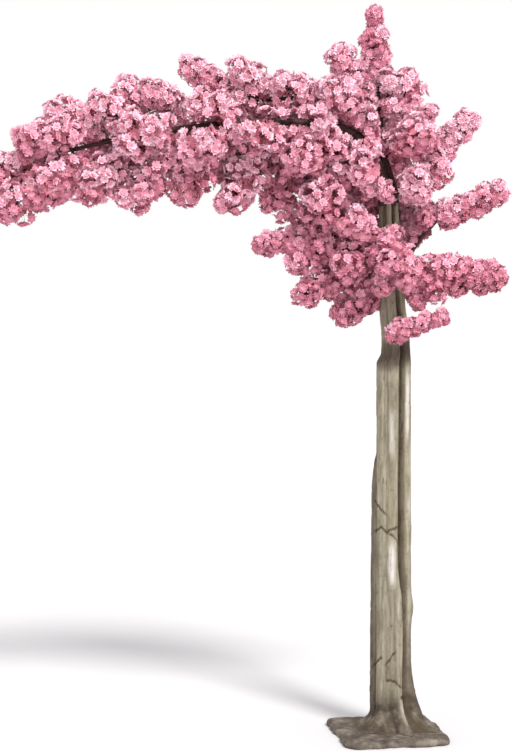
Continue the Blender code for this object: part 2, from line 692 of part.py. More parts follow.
class SprayBuilder:
    """Grows one spray as a set of overlapping shapes, each clear of every other node."""

    def __init__(self, spray, crowd, rng):
        self.spray = spray
        self.crowd = crowd
        self.rng = rng
        self.shapes = []
        self.core_tree = None

    def keep(self, shape):
        """Adds a shape to the spray and to the crown."""
        self.shapes.append(shape)
        self.crowd.add(self.spray.node, shape)

    def grow_core(self):
        """The core round the stem's end, pressed in by its neighbours. Without room, both move a little."""
        tip, station = Vector(self.spray.tip), self.spray.station
        for attempt in range(CORE_MOVES):
            if self.shapes:
                core, middles = core_shape(self.spray, self.rng)
                for _ in range(CORE_PRESSES):
                    if not self.crowd.blocks(self.spray.node, core):
                        self.keep(core)
                        self.shapes.reverse()
                        self.core_tree = core.tree()
                        return
                    self.press_in(core, middles)
            self.spray.tip = tuple(tip + self.jitter(CORE_MOVE + CORE_MOVE * attempt / CORE_PRESSES))
            if station < 1.0 or self.spray.carrier == "trunk":
                self.spray.station = station + self.rng.uniform(-STATION_MOVE, STATION_MOVE)
            self.shapes.clear()
            self.crowd.forget(self.spray.node)
            self.grow_stem()
        raise RuntimeError(f"{self.spray.name} has no room")

    def press_in(self, core, middles):
        """Draws the core's points towards its stem where another node is too near, or else all of them."""
        last = len(core.points) - 1
        middle_of = {0: middles[0], last: middles[-1]}
        middle_of |= {at: middles[(at - 1) // CORE_SIDES] for at in range(1, last)}
        near = [at for at in middle_of if self.crowd.crowds(self.spray.node, core.points[at], CORE_CLEAR)]
        for at in near or range(1, last):
            core.points[at] = middle_of[at].lerp(core.points[at], CORE_PRESS)

    def grow_stem(self):
        """The stem, from just clear of the bark to well inside the core."""
        line = [catmull(self.spray.path(), share) for share in STEM_SHARES]
        away = (line[1] - line[0]).normalized()
        others = [item for item in self.crowd.items if item[0] != self.spray.node]
        for _ in range(STEM_MOVES):
            stem = tube(line, STEM_RADII, STALK_SIDES)
            if not any(stem_touches(stem, item) for item in others):
                self.keep(stem)
                return
            line[0] = line[0] + away * GAP

    def places(self):
        """Even places over the spray's outside, as (point on the stem's line, the way out)."""
        line = self.spray.path()
        reach = (line[-1] - line[0]).length * (1.0 - CORE_START)
        radius = self.blossom_radius()
        area = 2 * math.pi * self.spray.girth * reach + 2 * math.pi * self.spray.girth**2
        count = max(5, round(area / (BLOSSOM_SPACING * radius) ** 2))
        cap_share = self.spray.girth / (self.spray.girth + reach)
        turn = self.rng.uniform(0, 2 * math.pi)
        found = []
        for i in range(count):
            along = (i + 0.5) / count
            angle = turn + i * GOLDEN_ANGLE
            at = min(1.0, CORE_START + (1.0 - CORE_START) * along / (1.0 - cap_share))
            middle = catmull(line, at)
            ahead, behind = (catmull(line, min(1.0, max(0.0, at + step))) for step in (0.03, -0.03))
            way = (ahead - behind).normalized()
            u = way.orthogonal().normalized()
            v = way.cross(u)
            lean = max(0.0, (along - (1.0 - cap_share)) / cap_share)
            side = u * math.cos(angle) + v * math.sin(angle)
            slope = math.asin(min(1.0, lean))
            out = side * math.cos(slope) + way * math.sin(slope)
            found.append((middle, out.normalized(), i % PROUD_EVERY == 1))
        return found

    def blossom_radius(self):
        """The radius of this spray's blossoms, which goes with its girth."""
        return min(BLOSSOM_RADIUS[1], max(BLOSSOM_RADIUS[0], self.spray.girth * BLOSSOM_SHARE))

    def grow_blossom(self, middle, out, proud):
        """One blossom on the core, or on its own twig where it stands proud. Without room it is left out."""
        for attempt in range(BLOSSOM_TRIES):
            way = out if attempt == 0 else (out + self.jitter(BLOSSOM_SCATTER)).normalized()
            skin, normal, _, _ = self.core_tree.ray_cast(middle + way * OUTSIDE, -way)
            if skin is None:
                continue
            facing = (way + normal * SKIN_FACING).normalized()
            size = self.rng.uniform(*BLOSSOM_SIZES) * (1.0 - BLOSSOM_SHRINK * attempt)
            radius = self.blossom_radius() * size
            stand = self.rng.uniform(*BLOSSOM_STAND)
            parts = []
            if proud:
                stand += PROUD_STAND
                radius *= PROUD_SIZE
                twig = [skin - facing * STALK_SINK, skin + facing * (stand - TWIG_SHORT)]
                parts.append(tube(twig, [TWIG_RADIUS] * 2, STALK_SIDES))
            eye = skin + facing * stand
            depth = PROUD_DEPTH if proud else stand + STALK_SINK
            parts.insert(0, blossom_shape(eye, facing, radius, depth, self.rng.uniform(0, 2 * math.pi)))
            if not any(self.crowd.blocks(self.spray.node, part) for part in parts):
                for part in parts:
                    self.keep(part)
                return

    def jitter(self, size):
        """A small random direction."""
        return Vector([self.rng.uniform(-size, size) for _ in range(3)])


def stem_touches(stem, item):
    """Whether a stem cuts into another node's shape."""
    _, tree, low, high, _ = item
    own_low, own_high = stem.corners()
    if any(own_low[i] > high[i] or own_high[i] < low[i] for i in range(3)):
        return False
    return bool(stem.tree().overlap(tree)) or inside(tree, stem.points[0])


# ---------------------------------------------------------------- Blender objects


def material(name, colour, roughness, metallic=0.0):
    """A plain finish."""
    made = bpy.data.materials.new(name)
    made.use_nodes = True
    shader = made.node_tree.nodes["Principled BSDF"]
    shader.inputs["Base Color"].default_value = (*colour, 1.0)
    shader.inputs["Roughness"].default_value = roughness
    shader.inputs["Metallic"].default_value = metallic
    return made


def add_object(name, shape, finish):
    """A named object from a shape, at the origin."""
    mesh = bpy.data.meshes.new(name)
    mesh.from_pydata([tuple(p) for p in shape.points], [], shape.faces)
    mesh.materials.append(finish)
    made = bpy.data.objects.new(name, mesh)
    bpy.context.scene.collection.objects.link(made)
    return made


def largest_body(mesh):
    """Leaves only the largest connected body of a mesh. Returns whether that body is closed."""
    work = bmesh.new()
    work.from_mesh(mesh)
    bmesh.ops.remove_doubles(work, verts=work.verts, dist=1e-6)
    bmesh.ops.dissolve_degenerate(work, edges=work.edges, dist=1e-6)
    unseen = set(work.verts)
    bodies = []
    while unseen:
        stack = [unseen.pop()]
        body = set(stack)
        while stack:
            for edge in stack.pop().link_edges:
                for vert in edge.verts:
                    if vert in unseen:
                        unseen.discard(vert)
                        body.add(vert)
                        stack.append(vert)
        bodies.append(body)
    bodies.sort(key=len, reverse=True)
    loose = [vert for body in bodies[1:] for vert in body]
    bmesh.ops.delete(work, geom=loose, context="VERTS")
    bmesh.ops.triangulate(work, faces=work.faces)
    closed = all(len(edge.link_faces) == 2 for edge in work.edges) and work.calc_volume() > 0
    work.to_mesh(mesh)
    work.free()
    return closed


def union(name, shapes, finish, solver):
    """One mesh from overlapping shapes, by a Boolean union. Returns it and whether it is closed."""
    base = add_object(name, shapes[0], finish)
    parts = bpy.data.collections.new(f"{name}_parts")
    bpy.context.scene.collection.children.link(parts)
    for i, shape in enumerate(shapes[1:]):
        part = add_object(f"{name}_part_{i}", shape, finish)
        bpy.context.scene.collection.objects.unlink(part)
        parts.objects.link(part)
    join = base.modifiers.new("join", "BOOLEAN")
    join.operation = "UNION"
    join.operand_type = "COLLECTION"
    join.collection = parts
    join.solver = solver
    bpy.context.view_layer.update()
    joined = bpy.data.meshes.new_from_object(base.evaluated_get(bpy.context.evaluated_depsgraph_get()))
    base.modifiers.clear()
    base.data = joined
    joined.name = name
    for part in list(parts.objects):
        bpy.data.objects.remove(part)
    bpy.data.collections.remove(parts)
    return base, largest_body(joined)


def fuse(name, shapes, finish):
    """A spray's shapes as one closed body. The blossom that keeps a spray from closing is left out."""
    without_one = [shapes[:i] + shapes[i + 1 :] for i in range(len(shapes) - 1, 1, -1)]
    for choice in [shapes] + without_one + [shapes[:2]]:
        for solver in ("EXACT", "MANIFOLD"):
            base, closed = union(name, choice, finish, solver)
            if closed:
                return base
            bpy.data.objects.remove(base)
    raise RuntimeError(f"{name} could not be joined")


def clear_scene():
    """Removes what the startup file left."""
    for old in list(bpy.data.objects):
        bpy.data.objects.remove(old)


def build_limbs(crowd, finish):
    """Every limb, as its own object."""
    for limb in LIMBS:
        shape = limb.shape()
        crowd.add(limb.name, shape)
        add_object(limb.name, shape, finish)


def build_sprays(crowd, finishes):
    """Every spray: all the stems, all the cores, then the blossoms by turns, so that all get their share."""
    builders = [SprayBuilder(spray, crowd, random.Random(f"{SEED}{spray.name}")) for spray in SPRAYS]
    for builder in builders:
        builder.grow_stem()
    for builder in builders:
        builder.grow_core()
    waiting = [(builder, builder.places()) for builder in builders]
    longest = max(len(places) for _, places in waiting)
    for turn in range(longest):
        for builder, places in waiting:
            if turn < len(places):
                builder.grow_blossom(*places[-1 - turn])
    for builder in builders:
        fuse(builder.spray.node, builder.shapes, finishes[builder.spray.silk])


def main():
    """Builds the whole tree."""
    clear_scene()
    bark = material("moulded_bark", (0.42, 0.38, 0.29), 0.75)
    foot_finish = material("foot_moulding", (0.22, 0.18, 0.14), 0.8)
    wood = material("limb_bark", (0.10, 0.07, 0.06), 0.8)
    dyes = {"silk_pale": (0.86, 0.50, 0.58), "silk_mid": (0.80, 0.36, 0.46), "silk_rose": (0.70, 0.25, 0.34)}
    silks = {name: material(name, colour, 0.85) for name, colour in dyes.items()}
    crowd = Crowd()
    add_object("foot_plate", foot_shape(), foot_finish)
    trunk = trunk_shape()
    crowd.add("trunk", trunk)
    add_object("trunk", trunk, bark)
    build_limbs(crowd, wood)
    build_sprays(crowd, silks)
    for made in bpy.context.scene.objects:
        made.data.shade_flat()


main()
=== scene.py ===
"""Half-arch artificial cherry blossom tree, dressed.

The trunk is a bundle of moulded poles on a flat foot. Limbs leave its top and sides, and the longest run
out as half of an arch. Each spray of blossom is a stem with side twigs, each twig ends in a tuft, and each
tuft is a handful of double silk flowers that face out.

Metres, +Z up. The origin is on the foot's underside, below the trunk. +X is away from the arch, and -Y is
the front.
"""

import logging
import math
from dataclasses import dataclass, field
from enum import Enum

import bpy
import numpy as np
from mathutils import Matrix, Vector
from mathutils.kdtree import KDTree


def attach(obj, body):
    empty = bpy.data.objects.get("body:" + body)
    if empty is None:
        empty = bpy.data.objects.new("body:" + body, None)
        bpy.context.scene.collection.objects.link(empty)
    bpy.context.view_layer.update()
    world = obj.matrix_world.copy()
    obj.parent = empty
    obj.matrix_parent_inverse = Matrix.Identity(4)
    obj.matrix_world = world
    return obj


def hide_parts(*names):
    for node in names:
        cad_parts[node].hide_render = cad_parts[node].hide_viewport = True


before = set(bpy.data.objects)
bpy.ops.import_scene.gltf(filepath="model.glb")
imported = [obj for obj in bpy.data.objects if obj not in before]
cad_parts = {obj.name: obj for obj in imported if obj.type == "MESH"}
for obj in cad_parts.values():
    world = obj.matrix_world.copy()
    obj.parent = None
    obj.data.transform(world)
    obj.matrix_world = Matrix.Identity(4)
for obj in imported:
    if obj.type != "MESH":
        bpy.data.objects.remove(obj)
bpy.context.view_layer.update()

BODY = "root"
SEED = 7
TREE_HEIGHT = 2.50
SEAT_GAP = 0.0005
FULL_TURN = 2.0 * math.pi
GOLDEN_ANGLE = math.pi * (3.0 - math.sqrt(5.0))
UP, ASIDE, STEEP = (0.0, 0.0, 1.0), (1.0, 0.0, 0.0), 0.9

Array = np.ndarray
Colour = tuple[float, float, float, float]
Pair = tuple[float, float]
Place = tuple[float, float, float]
Socket = bpy.types.NodeSocket

log = logging.getLogger("cherry_blossom_tree")


# ---------------------------------------------------------------- small sums


def display(red: int, green: int, blue: int) -> Colour:
    """A colour as a display shows it, turned into the shader's linear values.

    Args:
        red: Red from 0 to 255.
        green: Green from 0 to 255.
        blue: Blue from 0 to 255.

    Returns:
        The linear colour with full alpha.
    """
    parts = [value / 255.0 for value in (red, green, blue)]
    linear = [p / 12.92 if p <= 0.04045 else ((p + 0.055) / 1.055) ** 2.4 for p in parts]
    return (*linear, 1.0)


def smoothstep(low: float, high: float, value: Array) -> Array:
    """0 at low, 1 at high, a smooth ramp between and level beyond. Low may be the larger of the two."""
    t = np.clip((np.asarray(value, float) - low) / (high - low), 0.0, 1.0)
    return t * t * (3.0 - 2.0 * t)


def unit(vectors: Array) -> Array:
    """The vectors at length 1."""
    vectors = np.asarray(vectors, float)
    return vectors / np.maximum(1e-12, np.linalg.norm(vectors, axis=-1, keepdims=True))


def polar(angle: Array, radius: Array, z: Array = 0.0) -> Array:
    """Points at those angles in degrees and distances from the Z axis."""
    turn = np.radians(angle)
    return np.stack(np.broadcast_arrays(radius * np.cos(turn), radius * np.sin(turn), z), axis=-1)


def apart(angle: Array, middle: float) -> Array:
    """How far each angle is past the middle one, from -180 to 180 degrees."""
    return (angle - middle + 180) % 360 - 180


def signed(angle: Array) -> Array:
    """Angles from 0 to 360 degrees, given from -180 to 180."""
    return angle - 360.0 * (angle > 180)


def bell(away: Array) -> Array:
    """1 at 0, falling off smoothly on both sides."""
    return np.exp(-(away**2))


def across(ways: Array) -> tuple[Array, Array]:
    """Two directions square to each way, and square to each other."""
    u = unit(np.cross(ways, np.where(np.abs(ways[..., 2:3]) < STEEP, UP, ASIDE)))
    return u, np.cross(ways, u)


def bend(start: Array, elbow: Array, end: Array, t: Array) -> Array:
    """Places, for t from 0 to 1, on the curve from a start to an end that bends towards an elbow."""
    t = np.asarray(t, float)[:, None]
    return (1 - t) ** 2 * start + 2 * t * (1 - t) * elbow + t**2 * end


def smooth_line(points: Array, t: Array) -> Array:
    """Places on the smooth curve through some points.

    Args:
        points: The points that the curve runs through, one a row.
        t: Where on the curve, from 0 to 1.

    Returns:
        One place a row.
    """
    points = np.asarray(points, float)
    spans = len(points) - 1
    whole = np.clip(np.asarray(t, float), 0.0, 1.0) * spans
    i = np.minimum(whole.astype(int), spans - 1)
    u = (whole - i)[:, None]
    padded = np.vstack([2 * points[0] - points[1], points, 2 * points[-1] - points[-2]])
    before, a, b, after = padded[i], padded[i + 1], padded[i + 2], padded[i + 3]
    return 0.5 * (
        2 * a
        + (b - before) * u
        + (2 * before - 5 * a + 4 * b - after) * u**2
        + (3 * a - before - 3 * b + after) * u**3
    )


@dataclass(frozen=True)
class Fade:
    """A smooth ramp.

    Attributes:
        none: The value at which there is nothing yet.
        full: The value from which there is the full amount.
        amount: That amount.
    """

    none: float
    full: float
    amount: float = 1.0

    def at(self, value: Array) -> Array:
        """The amount at each value."""
        return self.amount * smoothstep(self.none, self.full, value)


@dataclass(frozen=True)
class Grain:
    """Smooth noise that comes out the same each time.

    Attributes:
        seed: Which noise it is.
    """

    seed: int

    def at(self, places: Array) -> Array:
        """Noise from -1 to 1 with features about one unit across.

        Args:
            places: Places, one a row.

        Returns:
            One value for each place.
        """
        base = np.floor(places).astype(np.int64)
        part = places - base
        fade = part * part * (3.0 - 2.0 * part)
        total = np.zeros(len(places))
        for corner in range(8):
            offset = np.array([corner & 1, (corner >> 1) & 1, (corner >> 2) & 1])
            cell = (base + offset).astype(np.uint64)
            mixed = cell[:, 0] * np.uint64(73856093) ^ cell[:, 1] * np.uint64(19349663)
            mixed = mixed ^ cell[:, 2] * np.uint64(83492791) ^ np.uint64(self.seed * 2654435761)
            mixed = (mixed ^ (mixed >> np.uint64(13))) * np.uint64(1274126177)
            mixed = mixed ^ (mixed >> np.uint64(16))
            value = (mixed & np.uint64(0xFFFF)).astype(float) / 32767.5 - 1.0
            total += value * np.prod(np.where(offset, fade, 1.0 - fade), axis=1)
        return total

    def layered(self, places: Array, layers: int = 3) -> Array:
        """Noise with finer noise on it, each layer half as strong as the one before."""
        return sum(Grain(self.seed + i).at(places * 2.0**i) * 0.5**i for i in range(layers)) / 1.5

    def unrolled(self, angle: Array, z: Array, degrees: float, rise: float, layers: int = 3) -> Array:
        """Layered noise over angle and height, its features some degrees wide and so many a metre."""
        return self.layered(np.stack([angle / degrees, z * rise, angle * 0.0], 1), layers)


class Heap:
    """Points and triangles gathered for one mesh, with a value or two at each point."""

    def __init__(self) -> None:
        """Starts empty."""
        self.points: list[Array] = []
        self.triangles: list[Array] = []
        self.values: dict[str, list[Array]] = {}
        self.count = 0

    def add(self, points: Array, triangles: Array, **values: Array) -> None:
        """Adds a shape.

        Args:
            points: Its points, one a row.
            triangles: Its triangles, as rows of three point numbers.
            **values: Named values, one for each point.
        """
        self.points.append(points)
        self.triangles.append(triangles + self.count)
        self.count += len(points)
        for name, each in values.items():
            self.values.setdefault(name, []).append(each)

    def make(self, name: str, finish: bpy.types.Material) -> bpy.types.Object:
        """Turns the heap into an object with smooth shading.

        Args:
            name: The piece's name.
            finish: Its material.

        Returns:
            The object, linked into the scene.
        """
        points = np.concatenate(self.points).astype(np.float32)
        triangles = np.concatenate(self.triangles).astype(np.int32)
        mesh = bpy.data.meshes.new(name)
        mesh.vertices.add(len(points))
        mesh.vertices.foreach_set("co", points.ravel())
        mesh.loops.add(triangles.size)
        mesh.loops.foreach_set("vertex_index", triangles.ravel())
        mesh.polygons.add(len(triangles))
        mesh.polygons.foreach_set("loop_start", np.arange(0, triangles.size, 3, dtype=np.int32))
        mesh.update(calc_edges=True)
        mesh.shade_smooth()
        for value_name, rows in self.values.items():
            layer = mesh.attributes.new(value_name, "FLOAT", "POINT")
            layer.data.foreach_set("value", np.concatenate(rows).astype(np.float32))
        mesh.materials.append(finish)
        made = bpy.data.objects.new(name, mesh)
        bpy.context.scene.collection.objects.link(made)
        return made


def sheet_triangles(rows: int, columns: int, ends: int) -> Array:
    """Triangles of a sheet of rings whose columns close on themselves.

    Args:
        rows: How many rings.
        columns: How many points each ring has.
        ends: 1 closes the last ring with the point after the rings, and 2 the first one too, with the next.

    Returns:
        Rows of three point numbers, facing out where the rings run anticlockwise and up.
    """
    below, k = np.meshgrid(np.arange(rows - 1), np.arange(columns), indexing="ij")
    a = (below * columns + k).ravel()
    b = (below * columns + (k + 1) % columns).ravel()
    ring = np.arange(columns)
    after = (ring + 1) % columns
    last = (rows - 1) * columns
    hub = np.full(columns, rows * columns)
    sheets = [np.stack([a, b, b + columns], 1), np.stack([a, b + columns, a + columns], 1)]
    closings = [np.stack([last + ring, last + after, hub], 1), np.stack([after, ring, hub + 1], 1)]
    return np.concatenate(sheets + closings[:ends])


def frames_along(path: Array) -> tuple[Array, Array]:
    """Two directions across a path at each of its points, carried along without twist.

    Args:
        path: The path, one point a row.

    Returns:
        The two directions at each point.
    """
    ways = unit(np.gradient(path, axis=0))
    sides = np.zeros_like(path)
    side = across(ways[0])[0]
    for i, way in enumerate(ways):
        side = side - way * side.dot(way)
        side = side / math.sqrt(side.dot(side))
        sides[i] = side
    return sides, np.cross(ways, sides)


def tube(path: Array, radii: Array, sides: int) -> tuple[Array, Array]:
    """A tapering tube with a closed end.

    Args:
        path: The tube's middle line, one point a row.
        radii: Its radius at each point.
        sides: How many sides it has.

    Returns:
        Its points and its triangles.
    """
    u, v = frames_along(path)
    turn = np.arange(sides) * (FULL_TURN / sides)
    radii = np.broadcast_to(np.asarray(radii, float).reshape(len(path), -1), (len(path), sides))
    ring = u[:, None, :] * np.cos(turn)[None, :, None] + v[:, None, :] * np.sin(turn)[None, :, None]
    points = (path[:, None, :] + ring * radii[:, :, None]).reshape(-1, 3)
    return np.vstack([points, path[-1:]]), sheet_triangles(len(path), sides, 1)


# ---------------------------------------------------------------- finishes


@dataclass(frozen=True)
class Speckle:
    """Noise in a finish.

    Attributes:
        scale: Features a metre.
        detail: How many finer layers there are.
        levels: The values between which it shows, or one for each colour that it is spread over.
        stretch: How much it is squeezed along Z. Below 1 draws it out into streaks.
        strength: How much of it shows at most.
    """

    scale: float
    detail: float
    levels: tuple[float, ...] = ()
    stretch: float = 1.0
    strength: float = 1.0


class Palette:
    """Adds and joins the nodes of one material."""

    NOISE_ROUGHNESS = 0.62

    def __init__(self, name: str) -> None:
        """Starts a material.

        Args:
            name: Its name.
        """
        self.material = bpy.data.materials.new(name)
        self.material.use_nodes = True
        self.tree = self.material.node_tree
        self.shader = self.tree.nodes["Principled BSDF"]

    def node(self, kind: str, inputs: dict[str, object], **settings: object) -> bpy.types.Node:
        """A new node.

        Args:
            kind: Its type.
            inputs: What each input gets: another node's socket or a plain value.
            **settings: The node's own settings.

        Returns:
            The node.
        """
        made = self.tree.nodes.new(kind)
        for name, value in settings.items():
            setattr(made, name, value)
        self.give(made, inputs)
        return made

    def give(self, node: bpy.types.Node, inputs: dict[str, object]) -> None:
        """Sets or links some of a node's inputs.

        Args:
            node: The node.
            inputs: What each gets: a plain value on its own socket, or a link from another node's socket.
        """
        for name, value in inputs.items():
            if isinstance(value, Socket):
                self.tree.links.new(value, node.inputs[name])
            else:
                node.inputs[name].default_value = value

    def value(self, name: str) -> Socket:
        """A named value that the mesh carries at its points."""
        return self.node("ShaderNodeAttribute", {}, attribute_name=name).outputs["Fac"]

    def noise(self, speckle: Speckle) -> Socket:
        """Noise in the object's own space.

        Args:
            speckle: What the noise is like.

        Returns:
            The noise from 0 to 1.
        """
        place = self.node("ShaderNodeTexCoord", {}).outputs["Object"]
        mapping = self.node("ShaderNodeMapping", {"Vector": place, "Scale": (1.0, 1.0, speckle.stretch)})
        sizes = {"Scale": speckle.scale, "Detail": speckle.detail, "Roughness": self.NOISE_ROUGHNESS}
        return self.node("ShaderNodeTexNoise", {"Vector": mapping.outputs["Vector"], **sizes}).outputs["Fac"]

    def ramp(self, speckle: Speckle, colours: tuple[Colour, ...]) -> Socket:
        """Colours spread over noise.

        Args:
            speckle: The noise, with a level for each colour.
            colours: The colours.

        Returns:
            The colour.
        """
        made = self.node("ShaderNodeValToRGB", {"Fac": self.noise(speckle)})
        bar = made.color_ramp.elements
        while len(bar) < len(colours):
            bar.new(1.0)
        for element, place, colour in zip(bar, speckle.levels, colours):
            element.position = place
            element.color = colour
        return made.outputs["Color"]

    def patches(self, speckle: Speckle) -> Socket:
        """Noise that is held to 0 below its first level.

        Args:
            speckle: The noise, with the levels where it starts to show and where it is at its strength.

        Returns:
            How much of it shows.
        """
        low, high = speckle.levels
        limits = {"From Min": low, "From Max": high, "To Max": speckle.strength}
        return self.node("ShaderNodeMapRange", {"Value": self.noise(speckle), **limits}).outputs["Result"]

    def mix(self, factor: Socket, under: Socket, over: Colour | Socket) -> Socket:
        """One colour laid over another by a factor."""
        colours = {"Factor": factor, "A": under, "B": over}
        return self.node("ShaderNodeMix", colours, data_type="RGBA").outputs["Result"]

    def bump(self, speckle: Speckle, depth: float) -> None:
        """Fine relief, that many metres deep, on the shader's normal."""
        sizes = {"Strength": speckle.strength, "Distance": depth, "Height": self.noise(speckle)}
        self.give(self.shader, {"Normal": self.node("ShaderNodeBump", sizes).outputs["Normal"]})


@dataclass(frozen=True)
class Finish:
    """What every finish has.

    Attributes:
        name: The material's name.
        roughness: How matt it is.
        specular: How much it shines.
        grit: Its fine relief.
        depth: How deep that is in metres.
    """

    name: str
    roughness: float
    specular: float
    grit: Speckle | None = None
    depth: float = 0.0

    def paint(self, palette: Palette) -> Socket | Colour:
        """Its colour: a plain one, or one that varies."""
        raise NotImplementedError

    def make(self) -> bpy.types.Material:
        """Mixes it.

        Returns:
            The material.
        """
        palette = Palette(self.name)
        gloss = {"Roughness": self.roughness, "Specular IOR Level": self.specular}
        palette.give(palette.shader, {"Base Color": self.paint(palette), **gloss})
        if self.grit:
            palette.bump(self.grit, self.depth)
        return palette.material


@dataclass(frozen=True, kw_only=True)
class Silk(Finish):
    """Dyed silk cloth, in one plain tint.

    Attributes:
        tint: Its colour.
        sheen: How much its edges glow.
    """

    tint: Colour
    sheen: float = 0.08
    roughness: float = 0.78
    specular: float = 0.15
    grit: Speckle = Speckle(900.0, 2.0, strength=0.20)
    depth: float = 0.0006

    def paint(self, palette: Palette) -> Colour:
        """The tint. It also sets the sheen."""
        palette.give(palette.shader, {"Sheen Weight": self.sheen})
        return self.tint


@dataclass(frozen=True, kw_only=True)
class MouldedBark(Finish):
    """Painted moulding that stands for bark, streaked along the poles, with painted shade in its grooves and
    cracks, worn patches and painted highlights.

    Attributes:
        pale: The lightest streaks.
        middle: The main colour.
        shade: The darkest streaks.
        crack: The colour of the flecks, and of the painted shade in grooves, cracks and hollows.
        worn: The bare patches and the painted highlights.
        stain: The dark band at the collar: a stain, with painted shadow under the sprays.
        grime: The dirt near the floor, and the painted shade down the edge on the arch's side.
        grime_dark: The darkest of that dirt and shade.
        grime_pale: The palest of it.
        streaks: The noise that the first three colours are spread over.
        blotches: Broad darker places.
        flecks: Small dark ones.
        clods: The noise in the dirt.
    """

    pale: Colour
    middle: Colour
    shade: Colour
    crack: Colour
    worn: Colour
    stain: Colour
    grime: Colour
    grime_dark: Colour
    grime_pale: Colour
    roughness: float = 0.82
    specular: float = 0.25
    streaks: Speckle = Speckle(70.0, 8.0, (0.28, 0.47, 0.68), 0.09)
    blotches: Speckle = Speckle(11.0, 5.0, (0.52, 0.74), 0.45, 0.55)
    flecks: Speckle = Speckle(160.0, 3.0, (0.60, 0.70), 0.35, 0.6)
    clods: Speckle = Speckle(26.0, 8.0, (0.34, 0.50, 0.68), 0.8)
    grit: Speckle = Speckle(240.0, 6.0, stretch=0.22, strength=0.55)
    depth: float = 0.0022

    def paint(self, palette: Palette) -> Socket:
        """Streaks under blotches and flecks, and over them dirt and painted shade, wear and painted
        highlights, painted shade in grooves and cracks, and the collar's stain and painted shadow.

        Args:
            palette: Where its nodes go.

        Returns:
            The colour.
        """
        colour = palette.ramp(self.streaks, (self.shade, self.middle, self.pale))
        colour = palette.mix(palette.patches(self.blotches), colour, self.shade)
        colour = palette.mix(palette.patches(self.flecks), colour, self.crack)
        earth = palette.ramp(self.clods, (self.grime_dark, self.grime, self.grime_pale))
        # Over the streaks: dirt, with painted shade on the arch-side edge; wear, with painted highlights;
        # painted shade in grooves, cracks and hollows; the collar's stain, with painted shadow.
        coats = (("dirt", earth), ("worn", self.worn), ("recess", self.crack), ("stain", self.stain))
        for name, over in coats:
            colour = palette.mix(palette.value(name), colour, over)
        return colour


@dataclass(frozen=True, kw_only=True)
class FootPaint(Finish):
    """The foot's earthy paint: mottled, with pale rubbed high spots.

    Attributes:
        dark: The colour in the hollows.
        middle: The main colour.
        pale: The rubbed high spots.
        mottle: The noise that the colours are spread over.
    """

    dark: Colour
    middle: Colour
    pale: Colour
    roughness: float = 0.85
    specular: float = 0.2
    mottle: Speckle = Speckle(24.0, 9.0, (0.34, 0.50, 0.70))
    grit: Speckle = Speckle(110.0, 7.0, strength=0.45)
    depth: float = 0.002

    def paint(self, palette: Palette) -> Socket:
        """The mottle, with the rubbed spots over it."""
        mottle = palette.ramp(self.mottle, (self.dark, self.middle, self.pale))
        return palette.mix(palette.value("rubbed"), mottle, self.pale)


@dataclass(frozen=True, kw_only=True)
class TwigWrap(Finish):
    """The dark wrap of wired limbs and twigs, greyer where the limbs are thick.

    Attributes:
        dark: The wrap's colour.
        light: The streaks in it.
        grey: The thick limbs' colour.
        streaks: The noise that the colours are spread over.
    """

    dark: Colour
    light: Colour
    grey: Colour
    roughness: float = 0.7
    specular: float = 0.3
    streaks: Speckle = Speckle(120.0, 5.0, (0.36, 0.66))
    grit: Speckle = Speckle(420.0, 4.0, strength=0.5)
    depth: float = 0.001

    def paint(self, palette: Palette) -> Socket:
        """The streaks, with the grey of the thick limbs over them."""
        streaks = palette.ramp(self.streaks, (self.dark, self.light))
        return palette.mix(palette.value("greyness"), streaks, self.grey)


@dataclass(frozen=True, kw_only=True)
class FloorPaint(Finish):
    """The plain pale floor.

    Attributes:
        colour: Its colour.
    """

    colour: Colour
    roughness: float = 0.9
    specular: float = 0.1

    def paint(self, palette: Palette) -> Colour:
        """Its one colour."""
        return self.colour


# ---------------------------------------------------------------- foot and trunk


